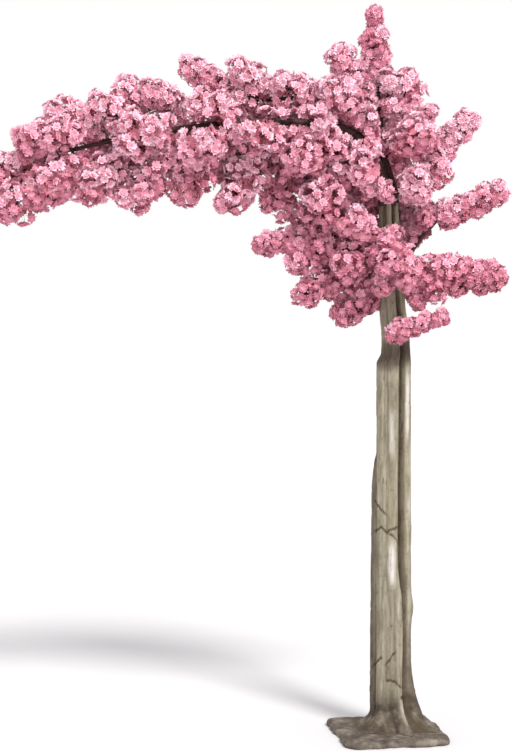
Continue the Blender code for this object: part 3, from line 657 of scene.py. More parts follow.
@dataclass
class Foot:
    """The moulded plate that the tree stands on.

    Attributes:
        size: Its length and width.
        centre: Its middle, seen from above.
        corner: The radius of its corners.
        least_corner: The least that an inset leaves of that.
        outside: A distance from its middle that is outside it on every side.
        thick: Its thickness.
        wave: How far its edge wanders.
        waves: The edge's waves: how many go round, where they start and how strong they are.
        side: The side from the floor up, as heights and insets.
        rim: The inset at which the top starts.
        drop: How far the top falls towards its rim.
        columns: Points round the outline.
        rings: Rings from the rim to the middle of the top.
        relief: The height of the lumps in its top.
        side_relief: The depth of those in its side.
        lumps: How many lumps a metre has.
        cracks: How many cracks.
        crack: How deep those are, by the distance from their middle.
        on_top: The heights over which the side turns into the top.
        rubbed: The lumps that are rubbed pale.
        scuffed: The heights over which the side gets scuffed.
    """

    size: Pair = (0.365, 0.375)
    centre: Pair = (-0.0225, -0.0375)
    corner: float = 0.045
    least_corner: float = 0.010
    outside: float = 0.4
    thick: float = 0.022
    wave: float = 0.003
    waves: tuple[Place, ...] = ((5, 1.0, 1.0), (9, 0.0, 1.0), (23, 2.0, 0.6))
    side: tuple[Pair, ...] = (
        (0.0, 0.004), (0.002, 0.001), (0.006, 0.0), (0.012, 0.0005), (0.0165, 0.003), (0.020, 0.007)
    )
    rim: float = 0.012
    drop: Fade = Fade(0.9, 1.0, 0.0012)
    columns: int = 240
    rings: int = 46
    relief: float = 0.0024
    side_relief: float = 0.0022
    lumps: float = 21.0
    cracks: float = 13.0
    crack: Fade = Fade(0.14, 0.0, 0.45)
    on_top: Fade = Fade(0.010, 0.020)
    rubbed: Fade = Fade(0.25, 0.75, 0.35)
    scuffed: Fade = Fade(0.004, 0.018, 0.25)

    def outline(self, inset: float) -> Array:
        """The foot's edge, drawn in by an inset.

        Args:
            inset: How far it is drawn in.

        Returns:
            Points at even turns round the foot's middle, one a row, without height.
        """
        turn = np.arange(self.columns) * (FULL_TURN / self.columns)
        way = np.stack([np.cos(turn), np.sin(turn)], 1)
        half = np.array(self.size) / 2 - inset
        corner = max(self.corner - inset, self.least_corner)
        low, high = np.zeros(self.columns), np.full(self.columns, self.outside)
        for _ in range(30):
            middle = (low + high) / 2
            beyond = np.abs(way * middle[:, None]) - (half - corner)
            away = np.linalg.norm(np.maximum(beyond, 0.0), axis=1) + np.minimum(beyond.max(axis=1), 0.0)
            low, high = np.where(away < corner, middle, low), np.where(away < corner, high, middle)
        wander = self.wave * sum(share * np.sin(count * turn + start) for count, start, share in self.waves)
        return way * (low + wander)[:, None] + np.array(self.centre)

    def build(self, finish: bpy.types.Material) -> bpy.types.Object:
        """The foot as one mesh.

        Args:
            finish: Its paint.

        Returns:
            The piece.
        """
        middle = np.array(self.centre)
        rim = self.outline(self.rim)
        rings = [(self.outline(inset), z) for z, inset in self.side]
        for share in np.linspace(1.0, 0.02, self.rings):
            rings.append((middle + (rim - middle) * share, self.thick - self.drop.at(share)))
        points = np.concatenate([np.column_stack([flat, np.full(self.columns, z)]) for flat, z in rings])
        lumps = Grain(SEED + 40).layered(points * self.lumps, 4)
        off_crack = np.abs(Grain(SEED + 47).layered(points * self.cracks, 3))
        top = self.on_top.at(points[:, 2])
        points[:, 2] += self.relief * (0.85 * lumps - self.crack.at(off_crack)) * top
        outwards = unit(points[:, :2] - middle) * (lumps * self.side_relief * (1.0 - top))[:, None]
        above_floor = points[:, 2:3] > 0.001
        points[:, :2] += outwards * above_floor
        rubbed = self.rubbed.at(lumps) + self.scuffed.at(points[:, 2]) * (1.0 - top)
        heap = Heap()
        heap.add(
            np.vstack([points, [[*middle, self.thick], [*middle, 0.0]]]),
            sheet_triangles(len(rings), self.columns, 2),
            rubbed=np.append(rubbed, [0.0, 0.0]),
        )
        return heap.make("foot_moulded", finish)


@dataclass(frozen=True)
class Toe:
    """One toe of the root flare.

    Attributes:
        angle: Where it runs out, in degrees.
        reach: How far it runs past the poles.
        half_width: Half of its spread, in degrees.
        height: How high on the poles it starts.
        hollow: How hollow its slope is.
    """

    angle: float
    reach: float
    half_width: float
    height: float
    hollow: float

    def at(self, angle: Array, rise: Array) -> Array:
        """How far it reaches at angles in degrees and rises above the foot."""
        slope = (1.0 - np.clip(rise / self.height, 0.0, 1.0)) ** self.hollow
        return self.reach * np.exp(-1.1 * (np.abs(apart(angle, self.angle)) / self.half_width) ** 2) * slope


@dataclass(frozen=True)
class Pole:
    """One pole of the bundle.

    Attributes:
        angle: Where it stands at the top, in degrees.
        radius: Its radius there.
        turn: How far round it has gone by the foot, in degrees.
        stout: Its radius at the foot.
        over: The heights between which it turns and grows.
        sway: How far it wanders sideways, in degrees.
        set_in: How far its middle stands inside the ring.
    """

    angle: float
    radius: float
    turn: float
    stout: float
    over: Pair
    sway: float = 0.0
    set_in: float = 0.0

    def at(self, angle: Array, z: Array, ring: float) -> Array:
        """How far it reaches from the trunk's middle.

        Args:
            angle: Angles in degrees.
            z: Heights.
            ring: How far the poles stand from the middle.

        Returns:
            One distance for each place, 0 where the pole isn't.
        """
        below = 1.0 - smoothstep(*self.over, z)
        stands = self.angle + self.turn * below + self.sway * np.sin(4.1 * z + self.angle)
        away = np.radians(angle - stands)
        middle = ring - self.set_in
        off_line = middle * np.sin(away)
        radius = (self.radius + (self.stout - self.radius) * below) * (
            1.0 + 0.025 * np.sin(7.3 * z + 2.0 * self.angle)
        )
        outer = middle * np.cos(away) + np.sqrt(np.maximum(0.0, radius**2 - off_line**2))
        return np.where((np.cos(away) > 0) & (np.abs(off_line) < radius), outer, 0.0)


@dataclass(frozen=True)
class Mark:
    """A knot or a hollow in the bark.

    Attributes:
        angle: Where it is, in degrees.
        height: How high it is.
        half_width: Half of its width, in degrees.
        half_height: Half of its height.
        amount: How far a knot stands out; for a hollow, how much painted shade it has.
    """

    angle: float
    height: float
    half_width: float
    half_height: float
    amount: float

    def at(self, angle: Array, z: Array) -> Array:
        """The amount at angles in degrees and heights."""
        away = apart(angle, self.angle) / self.half_width
        return self.amount * np.exp(-(away**2) - ((z - self.height) / self.half_height) ** 2)


@dataclass(frozen=True)
class Relief:
    """One kind of roughness in the bark.

    Attributes:
        seed: Which noise it is.
        around: Features a metre round the trunk.
        up: Features a metre up it.
        layers: How many layers it has.
        height: How far it stands out.
    """

    seed: int
    around: float
    up: float
    layers: int
    height: float

    def at(self, places: Array) -> Array:
        """Its noise at those places."""
        sizes = np.array([self.around, self.around, self.up])
        return Grain(SEED + self.seed).layered(places * sizes, self.layers)


@dataclass(frozen=True)
class Dirt:
    """Where the trunk is dirty.

    Attributes:
        floor: The heights of the dirt by the floor.
        ragged: How far the bark's lumps raise and lower it.
        rise: The heights of the thinner dirt above.
        patchy: The lumps that it lies on.
        root: The angle of the clean root in front, and half of its width.
        root_above: The heights from which that is clean.
        clean: How clean it is.
        edge: The angle of the painted shade down the edge on the arch's side.
        edge_width: The degrees from there over which it fades.
        edge_below: The heights below which that painted shade lies.
        flank: The angles over which the other front side darkens and clears again.
        flank_below: The heights below which it is dark.
    """

    floor: Fade = Fade(0.165, 0.075, 0.95)
    ragged: float = 0.045
    rise: Fade = Fade(0.95, 0.10, 0.42)
    patchy: Fade = Fade(-0.5, 0.4)
    root: Pair = (-71.0, 9.0)
    root_above: Fade = Fade(0.035, 0.055)
    clean: float = 0.85
    edge: float = 184.0
    edge_width: Fade = Fade(13.0, 5.0, 0.60)
    edge_below: Fade = Fade(1.02, 0.96)
    flank: tuple[Fade, Fade] = (Fade(-60.0, -45.0, 0.45), Fade(10.0, -10.0))
    flank_below: Fade = Fade(0.42, 0.36)

    def at(self, angle: Array, z: Array, lumps: Array) -> Array:
        """How much dirt and painted shade each place has, from 0 to 1.

        Args:
            angle: Angles in degrees.
            z: Heights.
            lumps: The bark's broad lumps.

        Returns:
            One value for each place.
        """
        turn = signed(angle)
        low = self.floor.at(z + self.ragged * lumps)
        rise = self.rise.at(z) * self.patchy.at(lumps)
        front = bell((turn - self.root[0]) / self.root[1]) * self.root_above.at(z)
        # Painted shade down the edge on the arch's side, away from the light.
        edge = self.edge_width.at(np.abs(angle - self.edge)) * self.edge_below.at(z)
        side = self.flank[0].at(turn) * self.flank[1].at(turn) * self.flank_below.at(z)
        return np.clip((low + rise + edge + side) * (1.0 - self.clean * front), 0.0, 1.0)


@dataclass
class Trunk:
    """Poles moulded together, from the root flare to the top where the limbs leave.

    Attributes:
        poles: The poles. The third is set in and fills the groove between its neighbours in front.
        toes: The root flare's toes.
        ring: How far the poles stand from the middle.
        filler: The moulding between them.
        bottom: The height of the trunk's foot.
        top: The height of its top.
        collar: Where the moulding ends and the poles draw together.
        collar_scale: The bundle's width above the collar.
        top_scale: Its width at the top.
        collar_step: How far the trunk steps aside at the collar.
        step_back: The heights between which it comes back.
        top_lean: How far the top leans to the side.
        foot_lean: How far the foot does.
        sway: How far the middle wanders along and across.
        slender: The bundle's width over most of its height.
        swell: How much that varies.
        stout: How much wider it is by the foot.
        stout_below: The heights between which the stouter foot of the trunk thins.
        columns: Points round the trunk.
        flare_rows: Rings in the root flare.
        pole_rows: Rings above it.
        mean_radius: The radius that the bark's noise is wrapped round.
        fibres: The bark's fibres.
        flakes: Its plates.
        lumps: Its broad lumps.
        clods: The earth moulded on near the floor.
        plate: The noise over which a plate rises.
        plate_rim: Where in that its edge is.
        plate_edge: How near its edge the bark is cut.
        edge_depth: How deep the edges of the plates are.
        crack_depth: How deep the cracks are.
        pit_depth: How deep the hollows are.
        groove_depth: How much deeper the bark is in the grooves between poles.
        groove: The distances from the middle over which a groove deepens.
        filled: The heights over which the moulding in the front groove gets fuller, towards the foot.
        dark_groove: How much painted shade the grooves get.
        dark_crack: How much painted shade the cracks get.
        dark_edge: How much painted shade the plates' edges get.
        dark_fibre: How much painted shade the low fibres get.
        dark_lump: How much painted shade the hollows between lumps get.
        dark_foot: How much painted shade the first of the trunk above the foot gets.
        stained: The heights of the collar band of stain and painted shadow: where it starts and where it
            ends.
        cracks: Cracks across the bark, each as places of angle and height.
        crack_wander: How far a crack strays up and down.
        crack_width: The distances from its middle over which it deepens.
        crack_end: How many degrees its ends take to run out.
        worn: Bare patches and painted highlights, as angle, low, high, half width in degrees and how pale
            they are.
        worn_edge: How softly a pale patch starts and ends along the trunk.
        worn_side: How it fades to its sides, in half widths.
        worn_ragged: How ragged those are.
        bumps: Knots.
        pits: Hollows, with painted shade in them.
        dirt: The dirt on it, and the painted shade down its edge on the arch's side.
    """

    poles: tuple[Pole, ...] = (
        Pole(-37, 0.0255, 12, 0.0245, (0.38, 0.66), 1.2), Pole(-105, 0.0250, 19, 0.0280, (0.38, 0.62), -0.8),
        Pole(-131, 0.0285, 19, 0.0305, (0.38, 0.62), 0.0, 0.012),
        Pole(-162, 0.0265, 24, 0.0250, (0.84, 1.02), 0.8), Pole(175, 0.0160, 0, 0.0250, (0.93, 1.00), 1.0),
        Pole(120, 0.0245, 0, 0.0245, (0.45, 1.00), -2.0), Pole(66, 0.0250, 0, 0.0250, (0.45, 1.00), 2.0),
        Pole(10, 0.0245, 0, 0.0245, (0.45, 1.00), -1.5),
    )
    toes: tuple[Toe, ...] = (
        Toe(-12, 0.064, 34, 0.280, 2.5), Toe(-45, 0.125, 24, 0.130, 3.4), Toe(-77, 0.095, 17, 0.150, 3.0),
        Toe(-115, 0.070, 24, 0.110, 3.6), Toe(-150, 0.100, 28, 0.085, 3.6), Toe(168, 0.105, 26, 0.070, 3.6),
        Toe(112, 0.068, 28, 0.110, 3.6), Toe(50, 0.090, 28, 0.150, 3.2),
    )
    ring: float = 0.048
    filler: float = 0.040
    bottom: float = 0.0223
    top: float = 1.830
    collar: Pair = (1.280, 1.320)
    collar_scale: float = 0.845
    top_scale: float = 0.590
    collar_step: float = 0.0075
    step_back: Pair = (1.36, 1.49)
    top_lean: float = -0.018
    foot_lean: float = -0.005
    sway: Pair = (0.003, 0.004)
    slender: float = 0.865
    swell: float = 0.008
    stout: float = 0.110
    stout_below: Pair = (0.82, 1.02)
    columns: int = 176
    flare_rows: int = 90
    pole_rows: int = 410
    mean_radius: float = 0.070
    fibres: Relief = Relief(1, 170.0, 16.0, 3, 0.0008)
    flakes: Relief = Relief(5, 52.0, 17.0, 3, 0.0009)
    lumps: Relief = Relief(8, 24.0, 7.0, 2, 0.0016)
    clods: Relief = Relief(31, 27.0, 27.0, 4, 0.0030)
    plate: Fade = Fade(-0.02, 0.10)
    plate_rim: float = 0.03
    plate_edge: Fade = Fade(0.10, 0.0)
    edge_depth: float = 0.0007
    crack_depth: float = 0.0032
    pit_depth: float = 0.0030
    groove_depth: float = 0.0030
    groove: Pair = (0.0725, 0.0600)
    filled: Pair = (0.62, 0.38)
    # Painted shade: how much darker the grooves, cracks, plate edges, low fibres, hollows between lumps and
    # the trunk just above the foot are painted.
    dark_groove: Fade = Fade(0.40, 1.0, 0.62)
    dark_crack: float = 0.85
    dark_edge: float = 0.20
    dark_fibre: Fade = Fade(0.1, -0.7, 0.28)
    dark_lump: Fade = Fade(0.0, -0.8, 0.22)
    dark_foot: Fade = Fade(0.03, 0.0, 0.30)
    stained: tuple[Fade, Fade] = (Fade(1.250, 1.290, 0.90), Fade(1.380, 1.325))
    cracks: tuple[tuple[Pair, ...], ...] = (
        ((-168, 0.808), (-145, 0.790), (-132, 0.778), (-121, 0.766)),
        ((-168, 0.704), (-151, 0.712), (-134, 0.719), (-118, 0.702), (-108, 0.712), (-84, 0.722)),
        ((-112, 0.699), (-102, 0.692), (-90, 0.678), (-82, 0.660)),
        ((-177, 0.224), (-164, 0.242), (-142, 0.258), (-129, 0.270)),
        ((-121, 0.242), (-109, 0.260), (-100, 0.278), (-90, 0.292)),
        ((-118, 0.190), (-106, 0.194), (-94, 0.188), (-84, 0.178), (-67, 0.164)),
        ((-74, 0.132), (-51, 0.128)), ((20, 0.56), (48, 0.60), (75, 0.585)), ((95, 0.93), (128, 0.90)),
        ((140, 0.41), (165, 0.435), (178, 0.42)), ((-15, 0.98), (12, 1.01)),
        ((0, 0.33), (25, 0.30), (50, 0.315)), ((150, 1.08), (178, 1.11)),
    )
    crack_wander: float = 0.006
    crack_width: Fade = Fade(0.0070, 0.0018)
    crack_end: float = 4.0
    # Pale patches: wear all round, and painted highlights on the front poles and the front root.
    worn: tuple[tuple[float, ...], ...] = (
        (-110, 0.98, 1.12, 10.0, 0.62), (-101, 0.53, 0.66, 12.0, 1.0), (-51, 1.03, 1.24, 7.0, 0.75),
        (-46, 0.78, 0.82, 6.0, 0.6), (-84, 0.425, 0.44, 3.5, 0.8), (-140, 0.80, 0.85, 6.0, 0.30),
        (-71, 0.065, 0.135, 9.0, 0.30), (60, 0.70, 0.86, 8.0, 0.8), (165, 0.62, 0.78, 8.0, 0.7),
        (112, 0.30, 0.42, 8.0, 0.8), (5, 0.75, 0.90, 7.0, 0.7),
    )
    worn_edge: float = 0.035
    worn_side: Fade = Fade(1.35, 0.15)
    worn_ragged: float = 0.35
    bumps: tuple[Mark, ...] = (
        Mark(-18, 0.440, 20.0, 0.045, 0.0085), Mark(-74, 0.484, 7.0, 0.018, 0.0040),
        Mark(-72, 0.404, 6.0, 0.010, 0.0040), Mark(70, 0.660, 14.0, 0.030, 0.0060),
        Mark(150, 0.350, 14.0, 0.030, 0.0060),
    )
    pits: tuple[Mark, ...] = (
        Mark(-65, 0.486, 4.5, 0.020, 0.95), Mark(-68, 0.405, 4.5, 0.015, 0.95),
        Mark(60, 0.380, 5.0, 0.018, 0.9), Mark(-178, 0.560, 4.5, 0.018, 0.8),
        Mark(140, 0.900, 5.0, 0.020, 0.9), Mark(15, 1.120, 4.0, 0.016, 0.8),
    )
    dirt: Dirt = Dirt()

    def axis(self, z: Array) -> Array:
        """The trunk's middle: nearly plumb, with the slight sway of a hand-made bundle.

        Args:
            z: Heights.

        Returns:
            The middle at each height.
        """
        z = np.asarray(z, float)
        lean = self.top_lean * smoothstep(self.collar[0], self.top, z)
        lean = lean + self.foot_lean * (1.0 - smoothstep(*self.stout_below, z))
        lean = lean + self.collar_step * (smoothstep(*self.collar, z) - smoothstep(*self.step_back, z))
        along, sideways = self.sway
        x = lean + along * np.sin(math.pi * z / self.top)
        return np.stack([x, sideways * np.sin(2.0 * z), z], axis=-1)

    def scale(self, z: Array) -> Array:
        """How wide the bundle is, as a share of its width below the collar.

        Args:
            z: Heights.

        Returns:
            The share at each height.
        """
        swell = self.slender + self.swell * np.sin(5.3 * z + 0.8)
        swell = swell + self.stout * (1.0 - smoothstep(*self.stout_below, z))
        gathered = 1.0 + (self.collar_scale - 1.0) * smoothstep(*self.collar, z)
        above = np.maximum(0.0, (z - self.collar[1]) / (self.top - self.collar[1]))
        return gathered * swell + (self.top_scale - self.collar_scale) * above

    def pole_reach(self, angle: Array, z: Array) -> Array:
        """The outline of the poles and the filler between them.

        Args:
            angle: Angles in degrees.
            z: Heights.

        Returns:
            One distance from the middle for each place.
        """
        reach = np.full(np.broadcast(angle, z).shape, self.filler)
        for pole in self.poles:
            reach = np.maximum(reach, pole.at(angle, z, self.ring))
        return reach

    def toe_reach(self, angle: Array, z: Array) -> Array:
        """How far the root flare stands out past the poles.

        Args:
            angle: Angles in degrees.
            z: Heights.

        Returns:
            One distance for each place.
        """
        reach = np.zeros(np.broadcast(angle, z).shape)
        for toe in self.toes:
            reach = np.maximum(reach, toe.at(angle, z - self.bottom))
        return reach

    def surface(self, angle: Array, z: Array) -> Array:
        """Places on the trunk's outside, without its bark."""
        radius = self.pole_reach(angle, z) * self.scale(z) + self.toe_reach(angle, z)
        return self.axis(z) + polar(angle, radius)

    def root_towards(self, height: float, target: Array) -> tuple[Array, Array]:
        """Where a spray that heads for a target leaves the trunk.

        Args:
            height: The height that it leaves at.
            target: What it heads for.

        Returns:
            The place on the bark and the way out from it.
        """
        away = target - self.axis(height)
        angle = math.degrees(math.atan2(away[1], away[0]))
        return self.surface(angle, height), unit(polar(angle, 1.0) + np.array([0.0, 0.0, 0.25]))

    def in_crack(self, angle: Array, z: Array) -> Array:
        """How deep in a crack each place is.

        Args:
            angle: Angles in degrees.
            z: Heights.

        Returns:
            One value from 0 to 1 for each place.
        """
        depth = np.zeros_like(angle)
        wander = Grain(SEED + 9).unrolled(angle, z, 9.0, 40.0, 2)
        soft = self.crack_end
        for crack in self.cracks:
            turns, heights = np.array(crack, float).T
            past = apart(angle, turns[0]) + turns[0]
            line = np.interp(past, turns, heights) + self.crack_wander * wander
            started = smoothstep(turns[0] - soft, turns[0] + soft, past)
            ended = smoothstep(turns[-1] - soft, turns[-1] + soft, past)
            depth = np.maximum(depth, self.crack_width.at(np.abs(z - line)) * started * (1.0 - ended))
        return depth

    def worn_share(self, angle: Array, z: Array) -> Array:
        """How pale each place is painted, for wear and for painted highlights.

        Args:
            angle: Angles in degrees.
            z: Heights.

        Returns:
            One value from 0 to 1 for each place.
        """
        share = np.zeros_like(angle)
        ragged = Grain(SEED + 13).unrolled(angle, z, 7.0, 28.0)
        soft = self.worn_edge
        for middle, low, high, half_width, bare in self.worn:
            away = np.abs(apart(angle, middle)) / half_width + self.worn_ragged * ragged
            tall = smoothstep(low - soft, low + soft, z) * smoothstep(high + soft, high - soft, z)
            share = np.maximum(share, bare * self.worn_side.at(away) * tall)
        return share

    def soft_groove(self, angle: Array, z: Array) -> Array:
        """How far the moulding has filled the groove between the two front poles.

        Args:
            angle: Angles in degrees.
            z: Heights.

        Returns:
            One value from 0 to 1 for each place.
        """
        lower = smoothstep(*self.filled, z)
        near = bell((signed(angle) - (-132.0 + 22.0 * lower)) / 15.0)
        return near * (0.45 + 0.35 * lower) * smoothstep(1.33, 1.27, z)

    def build(self, finish: bpy.types.Material) -> bpy.types.Object:
        """The trunk with its bark, as one mesh.

        Args:
            finish: The bark's paint.

        Returns:
            The piece.
        """
        flare = max(toe.height for toe in self.toes)
        low = self.bottom + flare * (np.arange(self.flare_rows) / self.flare_rows) ** 1.7
        heights = np.concatenate([low, np.linspace(self.bottom + flare, self.top, self.pole_rows)])
        turns = np.arange(self.columns) * (360.0 / self.columns)
        z, angle = [part.ravel() for part in np.meshgrid(heights, turns, indexing="ij")]
        reach = self.pole_reach(angle, z)
        outline, toes = reach * self.scale(z), self.toe_reach(angle, z)

        wrapped = np.column_stack([polar(angle, self.mean_radius)[:, :2], z])
        fibres, flakes, lumps = [kind.at(wrapped) for kind in (self.fibres, self.flakes, self.lumps)]
        clods = self.clods.at(self.axis(z) + polar(angle, outline + toes))
        roots = Grain(SEED + 21).unrolled(angle, z, 11.0, 9.0)
        plates = self.plate.at(flakes) - 0.5
        edge = self.plate_edge.at(np.abs(flakes - self.plate_rim))
        crest, hollow = self.groove
        groove = np.clip((crest - reach) / (crest - hollow), 0.0, 1.0) * (1.0 - self.soft_groove(angle, z))
        cracks = self.in_crack(angle, z)
        pits = np.max([pit.at(angle, z) for pit in self.pits], axis=0)

        relief = self.fibres.height * fibres + self.flakes.height * plates + self.lumps.height * lumps
        relief -= self.edge_depth * edge + self.crack_depth * cracks
        relief -= self.pit_depth * pits + self.groove_depth * groove**3
        relief += sum(bump.at(angle, z) for bump in self.bumps)
        relief *= smoothstep(self.bottom, self.bottom + 0.010, z) * 0.9 + 0.1
        near_floor = smoothstep(0.20, 0.05, z) * smoothstep(self.bottom, self.bottom + 0.012, z)
        relief += self.clods.height * clods * near_floor
        points = self.axis(z) + polar(angle, outline + toes * (1.0 + 0.06 * roots) + relief)

        # Painted shade: darker in the grooves between poles, in cracks, at the plates' edges, in pits, on
        # low fibres, in the hollows between lumps and just above the foot.
        recess = self.dark_groove.at(groove) + self.dark_crack * cracks + self.dark_edge * edge + pits
        recess += self.dark_fibre.at(fibres) + self.dark_lump.at(lumps)
        recess += self.dark_foot.at(z - self.bottom) * smoothstep(0.25, -0.3, roots)
        # Pale patches: wear, and painted highlights on the front poles.
        worn = self.worn_share(angle, z) * (1.0 - smoothstep(0.3, 0.9, recess))
        # The collar band: a stain, and painted shadow under the low sprays.
        start, end = self.stained
        stain = start.at(z + 0.020 * lumps + 0.010 * flakes) * end.at(z + 0.020 * flakes)
        stain = stain * (0.86 + 0.30 * fibres)
        heap = Heap()
        heap.add(
            np.vstack([points, self.axis(self.top), self.axis(self.bottom)]),
            sheet_triangles(len(heights), self.columns, 2),
            recess=np.append(np.clip(recess, 0.0, 1.0), [0.4, 1.0]),
            worn=np.append(worn, [0.0, 0.0]),
            stain=np.append(np.clip(stain, 0.0, 1.0), [0.0, 0.0]),
            dirt=np.append(self.dirt.at(angle, z, lumps), [0.0, 1.0]),
        )
        return heap.make("trunk_moulded", finish)


# ---------------------------------------------------------------- limbs


TRUNK = Trunk()


def top_seat(angle: float, off: float, z: float = 1.8303) -> tuple[float, ...]:
    """A place on the trunk's flat top, off its middle."""
    middle = TRUNK.axis(TRUNK.top)
    return tuple(np.array([middle[0], middle[1], z]) + polar(angle, off))


def side_seat(angle: float, height: float, out: float = 0.0) -> tuple[float, ...]:
    """A place that far out from the trunk's side."""
    return tuple(TRUNK.surface(angle, height) + polar(angle, out + SEAT_GAP))


@dataclass
class Limb:
    """One wired limb.

    Attributes:
        name: The limb's name.
        line: The points that it runs through.
        thick: Its radius at the root.
        thin: Its radius at the tip.
        share: The part of the line that is its own.
        nodes: The solids that it stands for. Without any, another row draws this limb.
        sides: How many sides its mesh has.
        step: How long each of its rings is.
        sunk: How deep its root is set in.
        wind: How far apart the turns of its wrap are.
        lump: How much its lumps swell it.
        ridge: How much the turns of its wrap do.
        foot: How much wider it is at the root.
        grey: The radii over which it turns grey, and how grey.
    """

    name: str
    line: tuple[tuple[float, ...], ...]
    thick: float
    thin: float
    share: Pair = (0.0, 1.0)
    nodes: tuple[str, ...] = ()
    sides: int = 14
    step: float = 0.0045
    sunk: float = 0.012
    wind: float = 0.013
    lump: float = 0.10
    ridge: float = 0.0175
    foot: Fade = Fade(0.030, 0.0, 0.35)
    grey: Fade = Fade(0.0095, 0.0165, 0.35)

    def __post_init__(self) -> None:
        """Walks the line once, so that stations go by length."""
        self.walk = smooth_line(np.array(self.line), np.linspace(0.0, 1.0, 161))
        steps = np.linalg.norm(np.diff(self.walk, axis=0), axis=1)
        self.lengths = np.concatenate([[0.0], np.cumsum(steps)])

    def at(self, whole: Array) -> Array:
        """Places on the whole line, for shares of its length."""
        wanted = np.clip(np.asarray(whole, float), 0.0, 1.0) * self.lengths[-1]
        return np.stack([np.interp(wanted, self.lengths, self.walk[:, i]) for i in range(3)], axis=-1)

    def radius(self, station: Array) -> Array:
        """The limb's radius at a station from 0, its root, to 1, its tip."""
        return self.thick + (self.thin - self.thick) * station

    def root_towards(self, station: float, target: Array) -> tuple[Array, Array]:
        """Where a spray that heads for a target leaves the limb.

        Args:
            station: The station that it leaves at.
            target: What it heads for.

        Returns:
            The place on the bark and the way out from it.
        """
        whole = self.share[0] + (self.share[1] - self.share[0]) * station
        middle = self.at(whole)
        way = unit(self.at(whole + 0.012) - self.at(whole - 0.012))
        out = way
        if station < 1.0:
            out = target - middle
            out = unit(unit(out - way * out.dot(way)) + way * 0.35)
        return middle + out * self.radius(station), out

    def add_to(self, heap: Heap) -> None:
        """Adds the limb to a heap, with its bark.

        Args:
            heap: What it is added to.
        """
        length = self.lengths[-1]
        stations = np.linspace(0.0, 1.0, max(8, int(length / self.step)))
        path = self.at(stations)
        path[0] -= unit(path[1] - path[0]) * self.sunk
        turn = np.arange(self.sides) * (FULL_TURN / self.sides)
        along, around = [part.ravel() for part in np.meshgrid(stations * length, turn, indexing="ij")]
        base = np.repeat(self.radius(stations), self.sides)
        grain = Grain(SEED + 60 + len(self.name))
        lumps = grain.layered(np.column_stack([np.cos(around) * 1.6, np.sin(around) * 1.6, along * 26.0]), 3)
        knots = grain.at(np.column_stack([along * 9.0, around * 0.0, along * 0.0]))
        turns = np.sin(along * FULL_TURN / self.wind + 2.2 * lumps)
        swell = 1.0 + self.lump * (lumps + smoothstep(0.35, 0.8, knots)) + self.ridge * turns
        radii = base * swell * (1.0 + self.foot.at(along))
        points, triangles = tube(path, radii.reshape(len(path), -1), self.sides)
        greyness = self.grey.at(base)
        heap.add(points, triangles, greyness=np.append(greyness, greyness[-1]))


ARCH_LINE = (
    top_seat(200, 0.017), top_seat(200, 0.020, 1.87), (-0.064, -0.012, 1.975), (-0.166, -0.02, 2.072),
    (-0.39, -0.02, 2.098), (-0.62, -0.01, 2.086), (-0.87, 0.0, 2.050), (-1.13, 0.0, 1.990),
)
ARCH_BEND = 0.26

LIMBS = (
    Limb("arch_rise", ARCH_LINE, 0.0165, 0.0150, (0.0, ARCH_BEND)),
    Limb("arch_span", ARCH_LINE, 0.0150, 0.0060, (ARCH_BEND, 1.0)),
    Limb("arch_whole", ARCH_LINE, 0.0170, 0.0055, nodes=("arch_rise", "arch_span")),
    Limb(
        "arch_upper",
        (top_seat(95, 0.021), top_seat(95, 0.024, 1.88), (-0.070, 0.055, 2.10), (-0.226, 0.07, 2.18),
         (-0.54, 0.07, 2.178), (-0.86, 0.06, 2.138)),
        0.0115, 0.0050, nodes=("arch_upper",),
    ),
    Limb(
        "leader",
        (top_seat(10, 0.021), top_seat(10, 0.020, 1.88), (-0.035, 0.0, 2.01), (-0.057, 0.0, 2.225)),
        0.0115, 0.0065, nodes=("leader",),
    ),
    Limb(
        "limb_right_high",
        (top_seat(-65, 0.023), top_seat(-60, 0.026, 1.855), (0.045, -0.022, 1.887), (0.100, -0.008, 1.945)),
        0.0085, 0.0060, nodes=("limb_right_high",),
    ),
    Limb(
        "limb_right_mid",
        (side_seat(10, 1.60), side_seat(10, 1.61, 0.0175), (0.082, 0.020, 1.685), (0.150, 0.0, 1.768)),
        0.0080, 0.0055, nodes=("limb_right_mid",),
    ),
    Limb(
        "limb_left",
        (side_seat(200, 1.7), side_seat(200, 1.704, 0.0175), (-0.16, -0.02, 1.735), (-0.255, -0.005, 1.722)),
        0.0105, 0.0070, nodes=("limb_left",),
    ),
)
CARRIERS = {limb.name: limb for limb in LIMBS} | {"trunk": TRUNK}


# ---------------------------------------------------------------- sprays of blossom


# Painted light and shade in the dyes: sprays high on the crests and those in front are pale, those low in
# the collar and those behind are rose.
PALE_ABOVE = 2.095
ROSE_BELOW = 1.80
FRONT = -0.09
BEHIND = 0.08
ARCH_FROM = -0.335
ARCH_ABOVE = 1.75
CROWN_ABOVE = 1.86
SLIM_RANGE = (0.05, 0.40)
TAPER_RANGE = (0.35, 1.0)
ELBOW = 0.38


class Tint(Enum):
    """The dye of a spray's silk, which also paints light and shade: pale where lit, rose where shaded. The
    value is the record's name for it.
    """

    PALE = "silk_pale"
    MID = "silk_mid"
    ROSE = "silk_rose"


class Region(Enum):
    """Which part of the crown a spray belongs to."""

    ARCH = "arch"
    CROWN = "crown"
    COLLAR = "collar"


